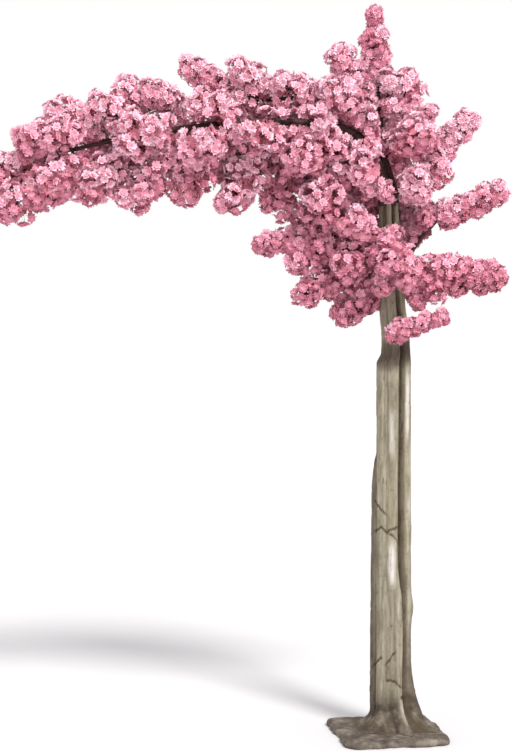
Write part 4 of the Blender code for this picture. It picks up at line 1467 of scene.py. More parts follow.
@dataclass(frozen=True)
class Spray:
    """One mass of blossom.

    Attributes:
        name: The spray's name.
        carrier: What it grows from.
        station: Where on that it grows.
        tip: The middle of its last lump.
        girth: How far its blossom stands from its stem.
        sag: How much it droops, as a share of its length.
        slim: Its girth at the bark, as a share of the full one.
        side: The side of the trunk it is rooted on, in degrees. Without one it leaves towards its tip.
        deeper: How many tints deeper its tufts are, for deeper dye and for painted shade, and paler, as
            painted light, where it is below 0.
    """

    name: str
    carrier: str
    station: float
    tip: Place
    girth: float
    sag: float = 0.0
    slim: float = 0.60
    side: float | None = None
    deeper: float = 0.0

    @property
    def node(self) -> str:
        """The name of the solid that it stands for."""
        return f"blossom_{self.name}"

    @property
    def region(self) -> Region:
        """The part of the crown that it belongs to."""
        beside = Region.CROWN if self.tip[2] > CROWN_ABOVE else Region.COLLAR
        return Region.ARCH if self.tip[0] < ARCH_FROM and self.tip[2] > ARCH_ABOVE else beside

    @property
    def tint(self) -> Tint:
        """The dye of its silk, which also paints light and shade.

        Returns:
            Pale on the crests and in front, as painted light; rose behind and in the collar, as painted
            shade.
        """
        _, back, height = self.tip
        if height < ROSE_BELOW or back > BEHIND:
            return Tint.ROSE
        return Tint.PALE if height > PALE_ABOVE or back < FRONT else Tint.MID

    @property
    def full(self) -> float:
        """Its greatest girth."""
        return self.girth * max(1.0, self.slim)

    def line(self, t: Array) -> Array:
        """Places along the stem.

        Args:
            t: Where along it, from the bark at 0 out to the spray's last lump at 1.

        Returns:
            One place a row.
        """
        tip = np.array(self.tip)
        aim = tip if self.side is None else TRUNK.axis(self.station) + polar(self.side, 1.0)
        root, out = CARRIERS[self.carrier].root_towards(self.station, aim)
        reach = float(np.linalg.norm(tip - root))
        elbow = root + out * reach * ELBOW + np.array([0.0, 0.0, -self.sag * reach])
        return bend(root, elbow, tip, t)

    def girth_at(self, t: Array) -> Array:
        """The spray's girth along its stem: slim by the bark, full over most of its length."""
        span = SLIM_RANGE if self.slim < 1.0 else TAPER_RANGE
        return self.girth * (self.slim + (1.0 - self.slim) * smoothstep(*span, t))


# The masses of blossom, each of which stands for one solid.
SPRAYS = (
    Spray("tip_hook", "arch_span", 0.96, (-1.31, -0.03, 1.820), 0.089, 0.05),
    Spray("tip_nose", "arch_span", 1.00, (-1.375, 0.05, 1.895), 0.076),
    Spray("tip_crest", "arch_span", 0.91, (-1.240, -0.05, 2.022), 0.077),
    Spray("crest_far", "arch_span", 0.84, (-1.140, 0.03, 2.112), 0.072),
    Spray("crest_mid", "arch_span", 0.73, (-1.000, -0.04, 2.135), 0.078),
    Spray("crest_peak", "arch_upper", 0.97, (-0.91, 0.03, 2.190), 0.072),
    Spray("crest_near", "arch_upper", 0.90, (-0.822, -0.03, 2.190), 0.064),
    Spray("crest_low", "arch_span", 0.38, (-0.67, -0.07, 2.145), 0.080),
    Spray("knob", "arch_upper", 0.72, (-0.70, 0.01, 2.275), 0.055),
    Spray("crest_high", "arch_upper", 0.60, (-0.528, 0.01, 2.262), 0.072),
    Spray("shoulder_top", "arch_upper", 0.46, (-0.39, -0.02, 2.212), 0.078),
    Spray("cheek_far", "arch_span", 0.62, (-0.92, -0.10, 2.03), 0.084, deeper=-0.5),
    Spray("cheek_mid", "arch_span", 0.38, (-0.69, -0.115, 2.02), 0.084, deeper=0.4),
    Spray("cheek_near", "arch_span", 0.17, (-0.50, -0.12, 2.05), 0.084),
    Spray("shoulder_mid", "arch_span", 0.05, (-0.31, -0.105, 2.100), 0.068),
    Spray("shoulder_front", "arch_rise", 0.92, (-0.35, -0.125, 1.965), 0.080, deeper=0.6),
    Spray("shoulder_low", "arch_rise", 0.38, (-0.250, -0.070, 1.885), 0.080, deeper=0.8),
    Spray("belly_far", "arch_span", 0.77, (-1.04, -0.03, 1.862), 0.080, deeper=-0.6),
    Spray("belly_mid", "arch_span", 0.59, (-0.88, -0.01, 1.856), 0.083),
    Spray("belly_near", "arch_span", 0.44, (-0.72, -0.03, 1.866), 0.084, deeper=0.8),
    Spray("belly_close", "arch_span", 0.25, (-0.56, -0.02, 1.840), 0.080, deeper=-0.4),
    Spray("belly_root", "arch_span", 0.10, (-0.405, 0.01, 1.845), 0.088, deeper=0.9),
    Spray("back_far", "arch_span", 0.68, (-1.00, 0.11, 1.985), 0.080),
    Spray("back_mid", "arch_span", 0.463, (-0.751, 0.116, 1.983), 0.086),
    Spray("back_near", "arch_span", 0.20, (-0.51, 0.12, 1.985), 0.088),
    Spray("back_shoulder", "arch_upper", 0.36, (-0.30, 0.145, 2.08), 0.090),
    Spray("spire", "leader", 1.00, (-0.070, 0.0, TREE_HEIGHT - 0.036), 0.036, 0.0, 1.70, deeper=1.3),
    Spray("left_horn", "leader", 0.80, (-0.188, -0.01, 2.320), 0.062),
    Spray("crown_left", "leader", 0.55, (-0.215, -0.07, 2.19), 0.082),
    Spray("crown_right_top", "leader", 0.75, (0.035, -0.03, 2.212), 0.083, deeper=0.3),
    Spray("crown_right", "leader", 0.40, (0.055, -0.11, 2.05), 0.084, deeper=0.9),
    Spray("crown_right_low", "limb_right_high", 0.45, (0.038, -0.135, 1.885), 0.078),
    Spray("crown_center", "arch_rise", 0.62, (-0.128, -0.15, 1.925), 0.082),
    Spray("right_lobe", "limb_right_high", 1.00, (0.254, 0.0, 2.108), 0.056),
    Spray("right_lobe_low", "limb_right_high", 0.66, (0.152, -0.036, 1.936), 0.060),
    Spray("back_crown_high", "arch_upper", 0.22, (-0.02, 0.155, 2.15), 0.092),
    Spray("back_crown_low", "trunk", 1.80, (0.03, 0.185, 1.935), 0.090),
    Spray("collar_left", "limb_left", 0.75, (-0.270, -0.085, 1.830), 0.096),
    Spray("collar_front", "limb_left", 0.30, (-0.165, -0.150, 1.755), 0.070, deeper=-0.4),
    Spray("collar_right", "limb_right_mid", 0.55, (0.118, 0.045, 1.800), 0.060),
    Spray("throat", "trunk", 1.70, (-0.058, -0.152, 1.612), 0.064),
    Spray("throat_left", "trunk", 1.64, (-0.185, -0.10, 1.62), 0.082),
    Spray("throat_right", "trunk", 1.655, (0.010, -0.135, 1.580), 0.068),
    Spray("hang_left", "limb_left", 0.80, (-0.318, -0.02, 1.65), 0.082, 0.06),
    Spray("stray_left", "limb_left", 1.00, (-0.458, 0.0, 1.688), 0.050, 0.0, 0.45),
    Spray("skirt_left", "trunk", 1.57, (-0.300, -0.02, 1.525), 0.070),
    Spray("skirt_low", "trunk", 1.52, (-0.165, 0.00, 1.462), 0.074, 0.12),
    Spray("back_collar", "trunk", 1.70, (-0.13, 0.175, 1.745), 0.090),
    Spray("spray_up", "limb_right_mid", 1.00, (0.360, 0.0, 1.868), 0.055, 0.17, 1.20),
    Spray("spray_out", "trunk", 1.575, (0.340, 0.0, 1.582), 0.063, 0.10, 1.55),
    Spray("spray_low", "trunk", 1.380, (0.143, -0.090, 1.440), 0.036, 0.05, 1.30, -112),
)

# Small sprays between the masses. They carry no solid of their own.
SPURS = (
    Spray("spur_high", "arch_upper", 0.62, (-0.535, 0.03, 2.185), 0.056),
    Spray("spur_behind_far", "arch_upper", 0.70, (-0.565, 0.080, 2.120), 0.060),
    Spray("spur_behind_mid", "arch_upper", 0.57, (-0.460, 0.085, 2.128), 0.062),
    Spray("spur_behind_near", "arch_upper", 0.46, (-0.350, 0.075, 2.115), 0.062),
    Spray("spur_behind_end", "arch_upper", 0.88, (-0.752, 0.055, 2.115), 0.056),
    Spray("spur_leader", "leader", 0.80, (-0.030, -0.05, 2.235), 0.056),
    Spray("spur_spire", "leader", 0.97, (-0.110, -0.01, 2.292), 0.044, deeper=0.8),
    Spray("spur_front", "leader", 0.12, (-0.045, -0.105, 1.872), 0.054),
    Spray("spur_left", "limb_left", 0.62, (-0.310, 0.03, 1.785), 0.056),
    Spray("spur_hang", "limb_left", 0.85, (-0.352, -0.02, 1.675), 0.050),
    Spray("spur_right", "limb_right_mid", 0.75, (0.100, -0.04, 1.775), 0.042),
    Spray("spur_throat", "trunk", 1.60, (-0.070, -0.120, 1.548), 0.048, 0.0, 0.60, -110),
    Spray("spur_under", "trunk", 1.53, (0.078, -0.030, 1.490), 0.036, 0.0, 0.60, 5),
    Spray("spur_shoulder", "leader", 0.62, (0.112, -0.02, 2.130), 0.046),
    Spray("spur_belly", "arch_span", 0.13, (-0.590, 0.025, 1.930), 0.054),
    Spray("spur_hollow", "arch_rise", 0.12, (-0.128, 0.035, 1.872), 0.056),
    Spray("spur_needle", "leader", 1.00, (-0.076, -0.01, 2.380), 0.058, deeper=1.1),
    Spray("spur_cleft", "arch_rise", 0.04, (-0.170, 0.030, 1.835), 0.050),
    Spray("spur_gap", "limb_left", 0.50, (-0.205, 0.035, 1.645), 0.056),
    Spray("spur_side", "limb_right_mid", 0.60, (0.062, 0.055, 1.822), 0.042),
    Spray("spur_dark", "arch_upper", 0.24, (-0.150, 0.130, 2.085), 0.056),
    Spray("spur_under_arch", "arch_rise", 0.45, (-0.240, 0.060, 1.945), 0.058),
    Spray("spur_sky", "arch_span", 0.03, (-0.300, 0.040, 1.895), 0.052),
    Spray("spur_slit", "limb_left", 0.60, (-0.235, 0.035, 1.605), 0.046),
)


@dataclass(frozen=True)
class Opening:
    """A stretch of limb that shows between the sprays, because nothing flowers in front of it.

    Attributes:
        limb: The limb.
        start: Where on it the stretch starts.
        end: Where it ends.
        clear: How far from the limb it is clear.
        turn: How far the clear side turns towards the arch.
        behind: How far behind the limb it is clear too.
    """

    limb: str
    start: float
    end: float
    clear: float = 0.020
    turn: float = 0.165
    behind: float = 0.012

    def covers(self, places: Array) -> Array:
        """Which places stand in front of the stretch.

        Args:
            places: The places, one a row.

        Returns:
            True for each that does.
        """
        line = CARRIERS[self.limb].at(np.linspace(self.start, self.end, 16))
        past = places[:, None, :] - line[None]
        beside = np.hypot(past[..., 0] - self.turn * past[..., 1], past[..., 2])
        return ((beside < self.clear) & (past[..., 1] < self.behind)).any(axis=1)


OPENINGS = (
    Opening("arch_whole", 0.86, 0.97, 0.019),
    Opening("arch_whole", 0.575, 0.70, 0.018),
    Opening("arch_whole", 0.46, 0.53, 0.017),
    Opening("arch_whole", 0.345, 0.445, 0.019),
    Opening("arch_whole", 0.19, 0.25, 0.026),
    Opening("arch_whole", 0.060, 0.105, 0.020),
    Opening("arch_upper", 0.52, 0.66, 0.013),
    Opening("leader", 0.66, 0.97, 0.013),
    Opening("leader", 0.03, 0.36, 0.018),
    Opening("limb_right_mid", 0.35, 0.95, 0.016),
)


# ---------------------------------------------------------------- flowers


@dataclass(frozen=True)
class Petal:
    """One layer's petal, cut from silk.

    Attributes:
        cut: Its edge from one side to the other and then its middle, each as along, across and lift.
        size: Its length.
        cup: How steeply it rises, in degrees.
        base: How high its base stands.
    """

    cut: tuple[Place, ...]
    size: float
    cup: float
    base: float

    def shape(self, rng: np.random.Generator, turn: float, ruffle: float) -> Array:
        """One such petal without its base point.

        Args:
            rng: Source of its ruffle.
            turn: Where it stands round the flower, in radians.
            ruffle: How much it differs from the cut.

        Returns:
            Its points, one a row.
        """
        cup = math.radians(self.cup * rng.uniform(0.75, 1.25))
        rows = []
        for along, aside, lift in self.cut:
            along = along * rng.uniform(1.0 - ruffle * 0.6, 1.0 + ruffle * 0.4)
            lift = lift + rng.uniform(-ruffle, ruffle) * 0.55 * along
            rows.append((along * math.cos(cup), aside, along * math.sin(cup) * (0.7 + 0.3 * along) + lift))
        x, y, z = np.array(rows).T * self.size
        cos, sin = math.cos(turn), math.sin(turn)
        return np.column_stack([x * cos - y * sin, x * sin + y * cos, z + self.base])


@dataclass
class FlowerPattern:
    """A double silk flower, cut from two layers of five petals.

    Attributes:
        layers: The wide notched outer petal and the small inner one.
        ruffle: How much each petal differs.
        button: The heart's radius, the height of its rim and its own height.
        patterns: How many different flowers there are.
    """

    layers: tuple[Petal, Petal] = (
        Petal(
            ((0.48, 0.36, 0.05), (0.92, 0.30, 0.02), (0.84, 0.0, 0.08), (0.92, -0.30, 0.02),
             (0.48, -0.36, 0.05), (0.55, 0.0, -0.06)),
            size=0.0190, cup=16.0, base=0.0,
        ),
        Petal(
            ((0.62, 0.40, 0.06), (1.0, 0.04, -0.02), (0.62, -0.40, 0.06), (0.55, 0.0, -0.06)),
            size=0.01254, cup=38.0, base=0.0010,
        ),
    )
    ruffle: float = 0.30
    button: Place = (0.0022, 0.00144, 0.0036)
    patterns: int = 12

    def make(self, number: int, layers: int = 2) -> tuple[Array, Array, Array]:
        """One flower, facing +Z.

        Args:
            number: Which of the patterns it is.
            layers: How many layers of petals it has.

        Returns:
            Its points, the triangles of its petals, and the triangles of its heart.
        """
        rng = np.random.default_rng(SEED * 100 + number)
        points = [np.zeros((1, 3))]
        petals, hearts = [], []
        count = 1
        for depth, petal in enumerate(self.layers[:layers]):
            for k in range(5):
                turn = FULL_TURN * (k + 0.5 * depth) / 5 + rng.uniform(-0.08, 0.08)
                points.append(petal.shape(rng, turn, self.ruffle))
                middle = count + len(petal.cut) - 1
                rim = [0, *range(count, middle)]
                for at, after in zip(rim, rim[1:] + rim[:1]):
                    (hearts if 0 in (at, after) else petals).append((after, at, middle))
                count = middle + 1
        radius, rim_height, height = self.button
        points += [polar(np.arange(4) * 90.0, radius, rim_height), np.array([[0.0, 0.0, height]])]
        hearts += [(count + k, count + (k + 1) % 4, count + 4) for k in range(4)]
        return np.vstack(points), np.array(petals), np.array(hearts)


@dataclass
class Shell:
    """A surface round a spray's stem, over which things are spread evenly.

    Attributes:
        spray: The spray.
        off: How far it stands from the stem.
        start: Where along the stem it begins.
    """

    spray: Spray
    off: float
    start: float

    def __post_init__(self) -> None:
        """Measures the stem that it surrounds, its area with the round end, and that end's share of it."""
        root, tip = self.spray.line(np.array([0.0, 1.0]))
        self.reach = float(np.linalg.norm(tip - root)) * (1.0 - self.start)
        self.area = FULL_TURN * self.off * self.reach + FULL_TURN * self.off**2
        self.cap = self.off / (self.off + self.reach)

    def spot(self, along: float, angle: float) -> tuple[float, Array, Array]:
        """A place on it.

        Args:
            along: How far along it, from 0 to 1.
            angle: How far round it, in radians.

        Returns:
            The place's station on the stem, the stem's own place there, and the way out from that.
        """
        at = min(1.0, self.start + (1.0 - self.start) * along / (1.0 - self.cap))
        here, back, ahead = self.spray.line(np.array([at, max(0.0, at - 0.03), min(1.0, at + 0.03)]))
        way = unit(ahead - back)
        u, v = across(way)
        slope = math.asin(min(1.0, max(0.0, (along - (1.0 - self.cap)) / self.cap)))
        out = unit((u * math.cos(angle) + v * math.sin(angle)) * math.cos(slope) + way * math.sin(slope))
        return at, here, out


@dataclass(frozen=True)
class Tuft:
    """A handful of flowers at a twig's end.

    Attributes:
        spray: The spray that it belongs to.
        hub: Where the twig ends.
        out: The way that it faces.
        radius: How far its flowers stand from the hub.
        flower: The size of its flowers, as a share of a full one.
        root: Where its twig leaves the stem.
        tint: The dye of its silk, paler on top of its stem and deeper under it, as painted light and shade.
    """

    spray: Spray
    hub: Array
    out: Array
    radius: float
    flower: float
    root: Array
    tint: Tint


@dataclass
class Blossom:
    """All the silk blossom and the twigs that carry it.

    Attributes:
        pattern: The flowers' pattern.
        hub_share: How far a tuft's flowers stand from its hub, as a share of the spray's girth.
        hub_range: The least and most that they stand off.
        proud: How far flowers reach past that.
        spacing: How far apart tufts are, in tuft radii.
        packing: How much of the square of that a tuft takes up.
        along: How far apart they are at most along a stem, in tuft radii.
        uneven: The least and most that tufts stand off the stem, as a share of the usual.
        stray: How far a hub strays, in tuft radii.
        tuft_sizes: The least and most that a tuft's radius differs.
        start: Where along a stem the tufts begin.
        slender: The girth below which a spray's flowers get smaller.
        smallest: The size of its smallest flowers.
        flowers: Flowers for a whole tuft.
        behind: How far behind a tuft its flowers go on, as a cosine.
        hidden: How near another hub a flower may be before it is left out, in tuft radii.
        sizes: The least and most that a flower's size differs.
        stands: The same for its distance from the hub.
        scatter: How far it strays round the hub.
        tilt: How far it faces another way.
        stem: The stem's radius at its root and its end.
        stem_sizes: The least and most that its radius differs along it.
        sunk: How deep a stem's root is set in.
        twig: A side twig's radius at its root and its end.
        twig_bend: How much a side twig bends, as a share of its length.
        stalk: A flower stalk's radius.
        filler: The cloth that one flower of the inner layer covers, in square metres.
        filler_depth: How far the inner layer stands from the stem, as a share of the tufts' distance.
        filler_size: The size of its flowers, as a share of a full one.
        filler_stands: The least and most that their distance from the stem differs.
        filler_tilt: How far they face another way.
        fade: Painted light and shade: how many tints a tuft on top of its stem is paler, and one under it
            deeper.
        mottle: The scatter in that.
    """

    pattern: FlowerPattern = field(default_factory=FlowerPattern)
    hub_share: float = 0.40
    hub_range: Pair = (0.015, 0.033)
    proud: float = 0.008
    spacing: float = 1.95
    packing: float = 0.87
    along: float = 1.35
    uneven: Pair = (0.62, 1.16)
    stray: float = 0.12
    tuft_sizes: Pair = (0.84, 1.14)
    start: float = 0.14
    slender: float = 0.075
    smallest: float = 0.72
    flowers: int = 17
    behind: float = -0.30
    hidden: float = 0.70
    sizes: Pair = (0.86, 1.14)
    stands: Pair = (0.86, 1.10)
    scatter: float = 0.14
    tilt: float = 0.20
    stem: Pair = (0.0055, 0.0026)
    stem_sizes: Pair = (0.92, 1.10)
    sunk: float = 0.004
    twig: Pair = (0.0021, 0.0012)
    twig_bend: float = 0.08
    stalk: float = 0.0008
    filler: float = 0.00085
    filler_depth: float = 0.62
    filler_size: float = 1.30
    filler_stands: Pair = (0.75, 1.15)
    filler_tilt: float = 0.25
    fade: float = 1.45
    mottle: float = 0.30

    def hub_radius(self, spray: Spray) -> float:
        """How far the flowers of a spray's tufts stand from their hubs."""
        return float(np.clip(spray.full * self.hub_share, *self.hub_range))

    def tufts_of(self, spray: Spray) -> list[Tuft]:
        """Tufts at even places all round a spray and over its end.

        Args:
            spray: The spray.

        Returns:
            Its tufts.
        """
        rng = np.random.default_rng([SEED, *spray.name.encode()])
        dye = np.random.default_rng([SEED + 7, *spray.name.encode()])
        tints = list(Tint)
        radius = self.hub_radius(spray)
        shell = Shell(spray, max(0.004, spray.full - radius - self.proud), self.start)
        by_area = shell.area / (self.packing * (self.spacing * radius) ** 2)
        count = max(4, round(max(by_area, shell.reach / (self.along * radius))))
        first = rng.uniform(0.0, FULL_TURN)
        flower = float(np.clip(0.55 + 0.45 * spray.full / self.slender, self.smallest, 1.0))
        tufts = []
        for i in range(count):
            at, here, out = shell.spot((i + 0.5) / count, first + i * GOLDEN_ANGLE)
            share = float(spray.girth_at(at)) / spray.full
            stand = shell.off * share * rng.uniform(*self.uneven)
            size = radius * rng.uniform(*self.tuft_sizes) * (share if spray.slim > 1.0 else 1.0)
            hub = here + out * stand + rng.uniform(-1.0, 1.0, 3) * radius * self.stray
            root = spray.line(np.array([max(0.02, at - 0.5 * stand / max(shell.reach, 0.05))]))[0]
            # Painted light and shade: a tuft on top of its stem takes a paler tint and one under it a deeper
            # one, besides the spray's dye and a random scatter.
            tone = tints.index(spray.tint) + spray.deeper - self.fade * out[2] + dye.normal(0.0, self.mottle)
            tufts.append(Tuft(spray, hub, out, size, flower, root, tints[int(np.clip(round(tone), 0, 2))]))
        return tufts

    def flowers_of(self, tuft: Tuft, rng: np.random.Generator) -> tuple[Array, Array]:
        """Places and facings of a tuft's flowers.

        Args:
            tuft: The tuft.
            rng: Source of their scatter.

        Returns:
            The places and the ways that they face, one a row.
        """
        i = np.arange(self.flowers) + 0.5
        height = 1.0 - 2.0 * i / self.flowers
        turn = i * GOLDEN_ANGLE + rng.uniform(0.0, FULL_TURN)
        flat = np.sqrt(1.0 - height**2)
        u, v = across(tuft.out)
        aside = u * (flat * np.cos(turn))[:, None] + v * (flat * np.sin(turn))[:, None]
        ways = tuft.out * height[:, None] + aside
        ways = unit(ways + rng.normal(0.0, self.scatter, ways.shape))[height > self.behind]
        stand = tuft.radius * rng.uniform(*self.stands, len(ways))
        return tuft.hub + ways * stand[:, None], unit(ways + rng.normal(0.0, self.tilt, ways.shape))

    def fill(self, spray: Spray, rng: np.random.Generator) -> list[tuple[Array, Array, Array]]:
        """The single flowers of a spray's inner layer, which lies behind its tufts.

        Args:
            spray: The spray.
            rng: Source of their scatter.

        Returns:
            The place, the facing and the stem's place for each.
        """
        off = max(0.006, spray.full - self.hub_radius(spray) - self.proud) * self.filler_depth
        shell = Shell(spray, off, self.start)
        count = max(6, round(shell.area / self.filler))
        found = []
        for i in range(count):
            at, here, out = shell.spot((i + rng.uniform(0.1, 0.9)) / count, i * GOLDEN_ANGLE)
            stand = out * off * float(spray.girth_at(at)) / spray.full * rng.uniform(*self.filler_stands)
            found.append((here + stand, unit(out + rng.normal(0.0, self.filler_tilt, 3)), here))
        return found

    def grow(self) -> dict[str, Array]:
        """Every flower on the tree that can be seen.

        Returns:
            Columns with one row a flower: place, facing, size, tint, region, hub, inner, pattern and spin.
        """
        self.tufts = [tuft for spray in SPRAYS + SPURS for tuft in self.tufts_of(spray)]
        tree = KDTree(len(self.tufts))
        for i, tuft in enumerate(self.tufts):
            tree.insert(Vector(tuft.hub), i)
        tree.balance()
        rng = np.random.default_rng(SEED)
        flowers = []
        for i, tuft in enumerate(self.tufts):
            for place, facing in zip(*self.flowers_of(tuft, rng)):
                near = tree.find_range(Vector(place), self.hidden * tuft.radius)
                if all(j == i for _, j, _ in near):
                    size = tuft.flower * rng.uniform(*self.sizes)
                    flowers.append((place, facing, size, tuft.tint, tuft.spray.region, tuft.hub, False))
        for spray in SPRAYS + SPURS:
            for place, facing, here in self.fill(spray, rng):
                size = self.filler_size * rng.uniform(*self.sizes)
                flowers.append((place, facing, size, spray.tint, spray.region, here, True))
        names = ("place", "facing", "size", "tint", "region", "hub", "inner")
        grown = {name: np.array(column) for name, column in zip(names, zip(*flowers))}
        clear = ~np.any([opening.covers(grown["place"]) for opening in OPENINGS], axis=0)
        grown = {name: column[clear] for name, column in grown.items()}
        grown["pattern"] = rng.integers(0, self.pattern.patterns, len(grown["size"]))
        grown["spin"] = rng.uniform(0.0, FULL_TURN, len(grown["size"]))
        return grown

    @staticmethod
    def placed(rows: dict[str, Array], chosen: Array, points: Array) -> Array:
        """A flower's points at each of the chosen places.

        Args:
            rows: Every flower.
            chosen: The numbers of the chosen flowers.
            points: The points of one flower.

        Returns:
            The points of each flower.
        """
        facing = rows["facing"][chosen]
        u, v = across(facing)
        spin = rows["spin"][chosen][:, None]
        u, v = u * np.cos(spin) + v * np.sin(spin), v * np.cos(spin) - u * np.sin(spin)
        x, y, z = np.moveaxis(points[None] * rows["size"][chosen][:, None, None], 2, 0)[..., None]
        return x * u[:, None] + y * v[:, None] + z * facing[:, None] + rows["place"][chosen][:, None]

    @staticmethod
    def add_flowers(heap: Heap, flowers: Array, faces: Array) -> None:
        """Adds some of the faces of many flowers to a heap, with only the points that they use.

        Args:
            heap: What they are added to.
            flowers: The points of each flower.
            faces: The faces wanted, as point numbers within a flower.
        """
        used, renumbered = np.unique(faces, return_inverse=True)
        offsets = (np.arange(len(flowers)) * len(used))[:, None, None]
        heap.add(flowers[:, used].reshape(-1, 3), (renumbered.reshape(1, -1, 3) + offsets).reshape(-1, 3))

    def build(
        self,
        silks: dict[Tint, bpy.types.Material],
        heart: bpy.types.Material,
        inner: bpy.types.Material,
        wrap: bpy.types.Material,
    ) -> list[tuple[bpy.types.Object, str, list[str]]]:
        """All the petals by tint and region, the hearts and the inner layer by region, and the twigs.

        Args:
            silks: The petals' silk for each tint.
            heart: The silk of the flowers' hearts.
            inner: The silk of the inner layer, a deeper tint that paints the shade in the gaps between
                tufts.
            wrap: The twigs' wrap.

        Returns:
            Each piece, the slot it takes its finish from, and the solids that it stands for.
        """
        rows = self.grow()
        log.info("%d tufts, %d flowers, %d within", len(self.tufts), len(rows["size"]), rows["inner"].sum())
        numbers = range(self.pattern.patterns)
        doubles = [self.pattern.make(number) for number in numbers]
        singles = [self.pattern.make(number, layers=1) for number in numbers]
        pieces = []
        for region in Region:
            here = rows["region"] == region
            hearts, within = Heap(), Heap()
            for tint in Tint:
                petals = Heap()
                wanted = here & (rows["tint"] == tint) & ~rows["inner"]
                for number, (points, petal_faces, heart_faces) in enumerate(doubles):
                    chosen = np.flatnonzero(wanted & (rows["pattern"] == number))
                    if len(chosen):
                        flowers = self.placed(rows, chosen, points)
                        self.add_flowers(petals, flowers, petal_faces)
                        self.add_flowers(hearts, flowers, heart_faces)
                if petals.count:
                    nodes = [spray.node for spray in SPRAYS if spray.region is region and spray.tint is tint]
                    piece = petals.make(f"petals_{tint.name.lower()}_{region.value}", silks[tint])
                    pieces.append((piece, tint.value, nodes))
            pieces.append((hearts.make(f"hearts_{region.value}", heart), Tint.ROSE.value, []))
            for number, (points, petal_faces, heart_faces) in enumerate(singles):
                chosen = np.flatnonzero(here & rows["inner"] & (rows["pattern"] == number))
                flowers = self.placed(rows, chosen, points)
                self.add_flowers(within, flowers, np.concatenate([petal_faces, heart_faces]))
            pieces.append((within.make(f"inner_{region.value}", inner), Tint.ROSE.value, []))
        pieces.append((self.twigs(rows).make("twigs", wrap), "limb_bark", []))
        return pieces

    def twigs(self, rows: dict[str, Array]) -> Heap:
        """Every stem, side twig and flower stalk.

        Args:
            rows: Every flower.

        Returns:
            A heap with all of them.
        """
        heap = Heap()
        rng = np.random.default_rng(SEED + 3)
        for spray in SPRAYS + SPURS:
            path = spray.line(np.linspace(0.0, 1.0, 16))
            path[0] -= unit(path[1] - path[0]) * self.sunk
            radii = np.linspace(*self.stem, len(path)) * rng.uniform(*self.stem_sizes, len(path))
            heap.add(*tube(path, radii, 6))
        for tuft in self.tufts:
            length = np.linalg.norm(tuft.hub - tuft.root)
            elbow = (tuft.root + tuft.hub) / 2 + rng.normal(0.0, self.twig_bend, 3) * length
            path = bend(tuft.root, elbow, tuft.hub, np.linspace(0.0, 1.0, 5))
            heap.add(*tube(path, np.linspace(*self.twig, 5), 4))
        u, v = across(rows["facing"])
        sides = (u, -0.5 * u + 0.87 * v, -0.5 * u - 0.87 * v)
        points = np.stack([*(rows["place"] + self.stalk * side for side in sides), rows["hub"]], axis=1)
        self.add_flowers(heap, points, np.array([(0, 3, 1), (1, 3, 2), (2, 3, 0)]))
        heap.values["greyness"] = [np.zeros(heap.count)]
        return heap


# ---------------------------------------------------------------- studio


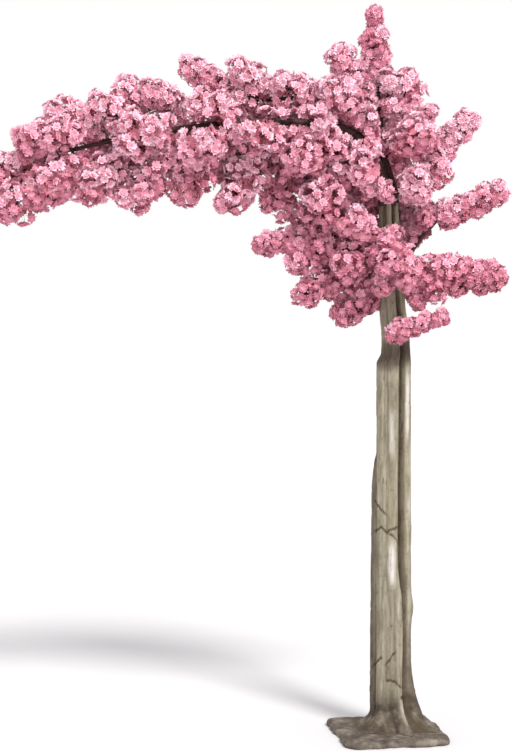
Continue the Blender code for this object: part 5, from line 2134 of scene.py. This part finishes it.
@dataclass
class Studio:
    """The floor, the light and the camera.

    Attributes:
        floor_radius: How far the floor runs.
        floor_sides: How many sides it has.
        floor: The floor's paint.
        zenith: The light from overhead.
        horizon: The light from the sides.
        rim: The heights on the dome between which one turns into the other.
        key_way: The way that the key light shines.
        key_strength: How strong it is.
        key_spread: How soft it is, in degrees.
        key_colour: Its colour.
        eye: Where the camera stands.
        aim: What it looks at.
        lens: Its focal length in millimetres.
        sensor: The width of its picture in millimetres.
    """

    floor_radius: float = 60.0
    floor_sides: int = 64
    floor: FloorPaint = FloorPaint("floor_paint", colour=display(216, 216, 218))
    zenith: Colour = (0.88, 0.85, 0.86, 1.0)
    horizon: Colour = (1.0, 1.0, 1.0, 1.0)
    rim: Pair = (0.24, 0.60)
    key_way: Place = (-0.35, 0.85, -1.0)
    key_strength: float = 2.8
    key_spread: float = 14.0
    key_colour: Place = (1.0, 0.985, 0.96)
    eye: Place = (-1.45, -5.80, 1.55)
    aim: Place = (-0.478, 0.0, 1.243)
    lens: float = 83.1
    sensor: float = 36.0

    def build(self) -> None:
        """Sets it all up."""
        bpy.context.scene.view_settings.view_transform = "Standard"
        self.lay_floor()
        self.light()
        self.place_camera()

    def lay_floor(self) -> None:
        """A wide round floor under the foot."""
        rim = polar(np.arange(self.floor_sides) * (360.0 / self.floor_sides), self.floor_radius)
        heap = Heap()
        heap.add(np.vstack([rim, np.zeros((1, 3))]), sheet_triangles(1, self.floor_sides, 1))
        heap.make("floor", self.floor.make())

    def light(self) -> None:
        """A pale dome, brightest at its rim, and one broad key light from over the right shoulder."""
        world = bpy.data.worlds.new("studio_dome")
        world.use_nodes = True
        tree = world.node_tree
        place = tree.nodes.new("ShaderNodeTexCoord")
        parts = tree.nodes.new("ShaderNodeSeparateXYZ")
        ramp = tree.nodes.new("ShaderNodeValToRGB")
        for element, height, colour in zip(ramp.color_ramp.elements, self.rim, (self.horizon, self.zenith)):
            element.position = height
            element.color = colour
        tree.links.new(place.outputs["Generated"], parts.inputs["Vector"])
        tree.links.new(parts.outputs["Z"], ramp.inputs["Fac"])
        tree.links.new(ramp.outputs["Color"], tree.nodes["Background"].inputs["Color"])
        bpy.context.scene.world = world
        lamp = bpy.data.lights.new("key_light", "SUN")
        lamp.energy = self.key_strength
        lamp.angle = math.radians(self.key_spread)
        lamp.color = self.key_colour
        made = bpy.data.objects.new("key_light", lamp)
        made.rotation_euler = Vector(self.key_way).to_track_quat("-Z", "Y").to_euler()
        bpy.context.scene.collection.objects.link(made)

    def place_camera(self) -> None:
        """The camera, upright and level with the crown."""
        lens = bpy.data.cameras.new("camera")
        lens.lens = self.lens
        lens.sensor_width = self.sensor
        made = bpy.data.objects.new("camera", lens)
        made.location = self.eye
        made.rotation_euler = (Vector(self.aim) - Vector(self.eye)).to_track_quat("-Z", "Y").to_euler()
        bpy.context.scene.collection.objects.link(made)
        bpy.context.scene.camera = made


# ---------------------------------------------------------------- the whole tree


def settle(piece: bpy.types.Object, nodes: list[str]) -> None:
    """Puts a piece in the part: what carries it, and which solids it stands for.

    Args:
        piece: The piece.
        nodes: The solids that it stands for.
    """
    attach(piece, BODY)
    if nodes:
        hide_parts(*nodes)
    log.info("%s: %d triangles, for %d solids", piece.name, len(piece.data.polygons), len(nodes))


def main() -> None:
    """Builds the whole tree and its studio."""
    logging.basicConfig(level=logging.INFO, format="%(name)s: %(message)s")
    bark = MouldedBark(
        "trunk_bark",
        pale=display(174, 167, 148), middle=display(150, 142, 122), shade=display(114, 105, 84),
        crack=display(80, 68, 52), worn=display(218, 210, 203), stain=display(72, 59, 51),
        grime=display(88, 78, 68), grime_dark=display(60, 52, 45), grime_pale=display(130, 121, 108),
    )
    paint = FootPaint(
        "foot_paint", dark=display(68, 60, 52), middle=display(98, 89, 80), pale=display(144, 135, 123)
    )
    wrap = TwigWrap(
        "twig_wrap", dark=display(58, 36, 35), light=display(98, 70, 64), grey=display(104, 84, 76)
    )
    silks = {
        Tint.PALE: Silk("silk_pale", tint=display(249, 208, 223)),
        Tint.MID: Silk("silk_mid", tint=display(243, 184, 203)),
        Tint.ROSE: Silk("silk_rose", tint=display(217, 143, 163)),
    }
    heart = Silk("silk_heart", tint=display(234, 158, 178))
    # A deeper tint for the inner layer: painted shade in the gaps between tufts.
    inner = Silk("silk_inner", tint=display(224, 142, 161))

    settle(Foot().build(paint.make()), ["foot_plate"])
    settle(TRUNK.build(bark.make()), ["trunk"])
    limbs = Heap()
    for limb in LIMBS:
        if limb.nodes:
            limb.add_to(limbs)
    wrapped = wrap.make()
    settle(limbs.make("limbs", wrapped), [node for limb in LIMBS for node in limb.nodes])
    made_silks = {tint: silk.make() for tint, silk in silks.items()}
    for piece, slot, nodes in Blossom().build(made_silks, heart.make(), inner.make(), wrapped):
        settle(piece, nodes)
    Studio().build()


if __name__ == "__main__":
    main()
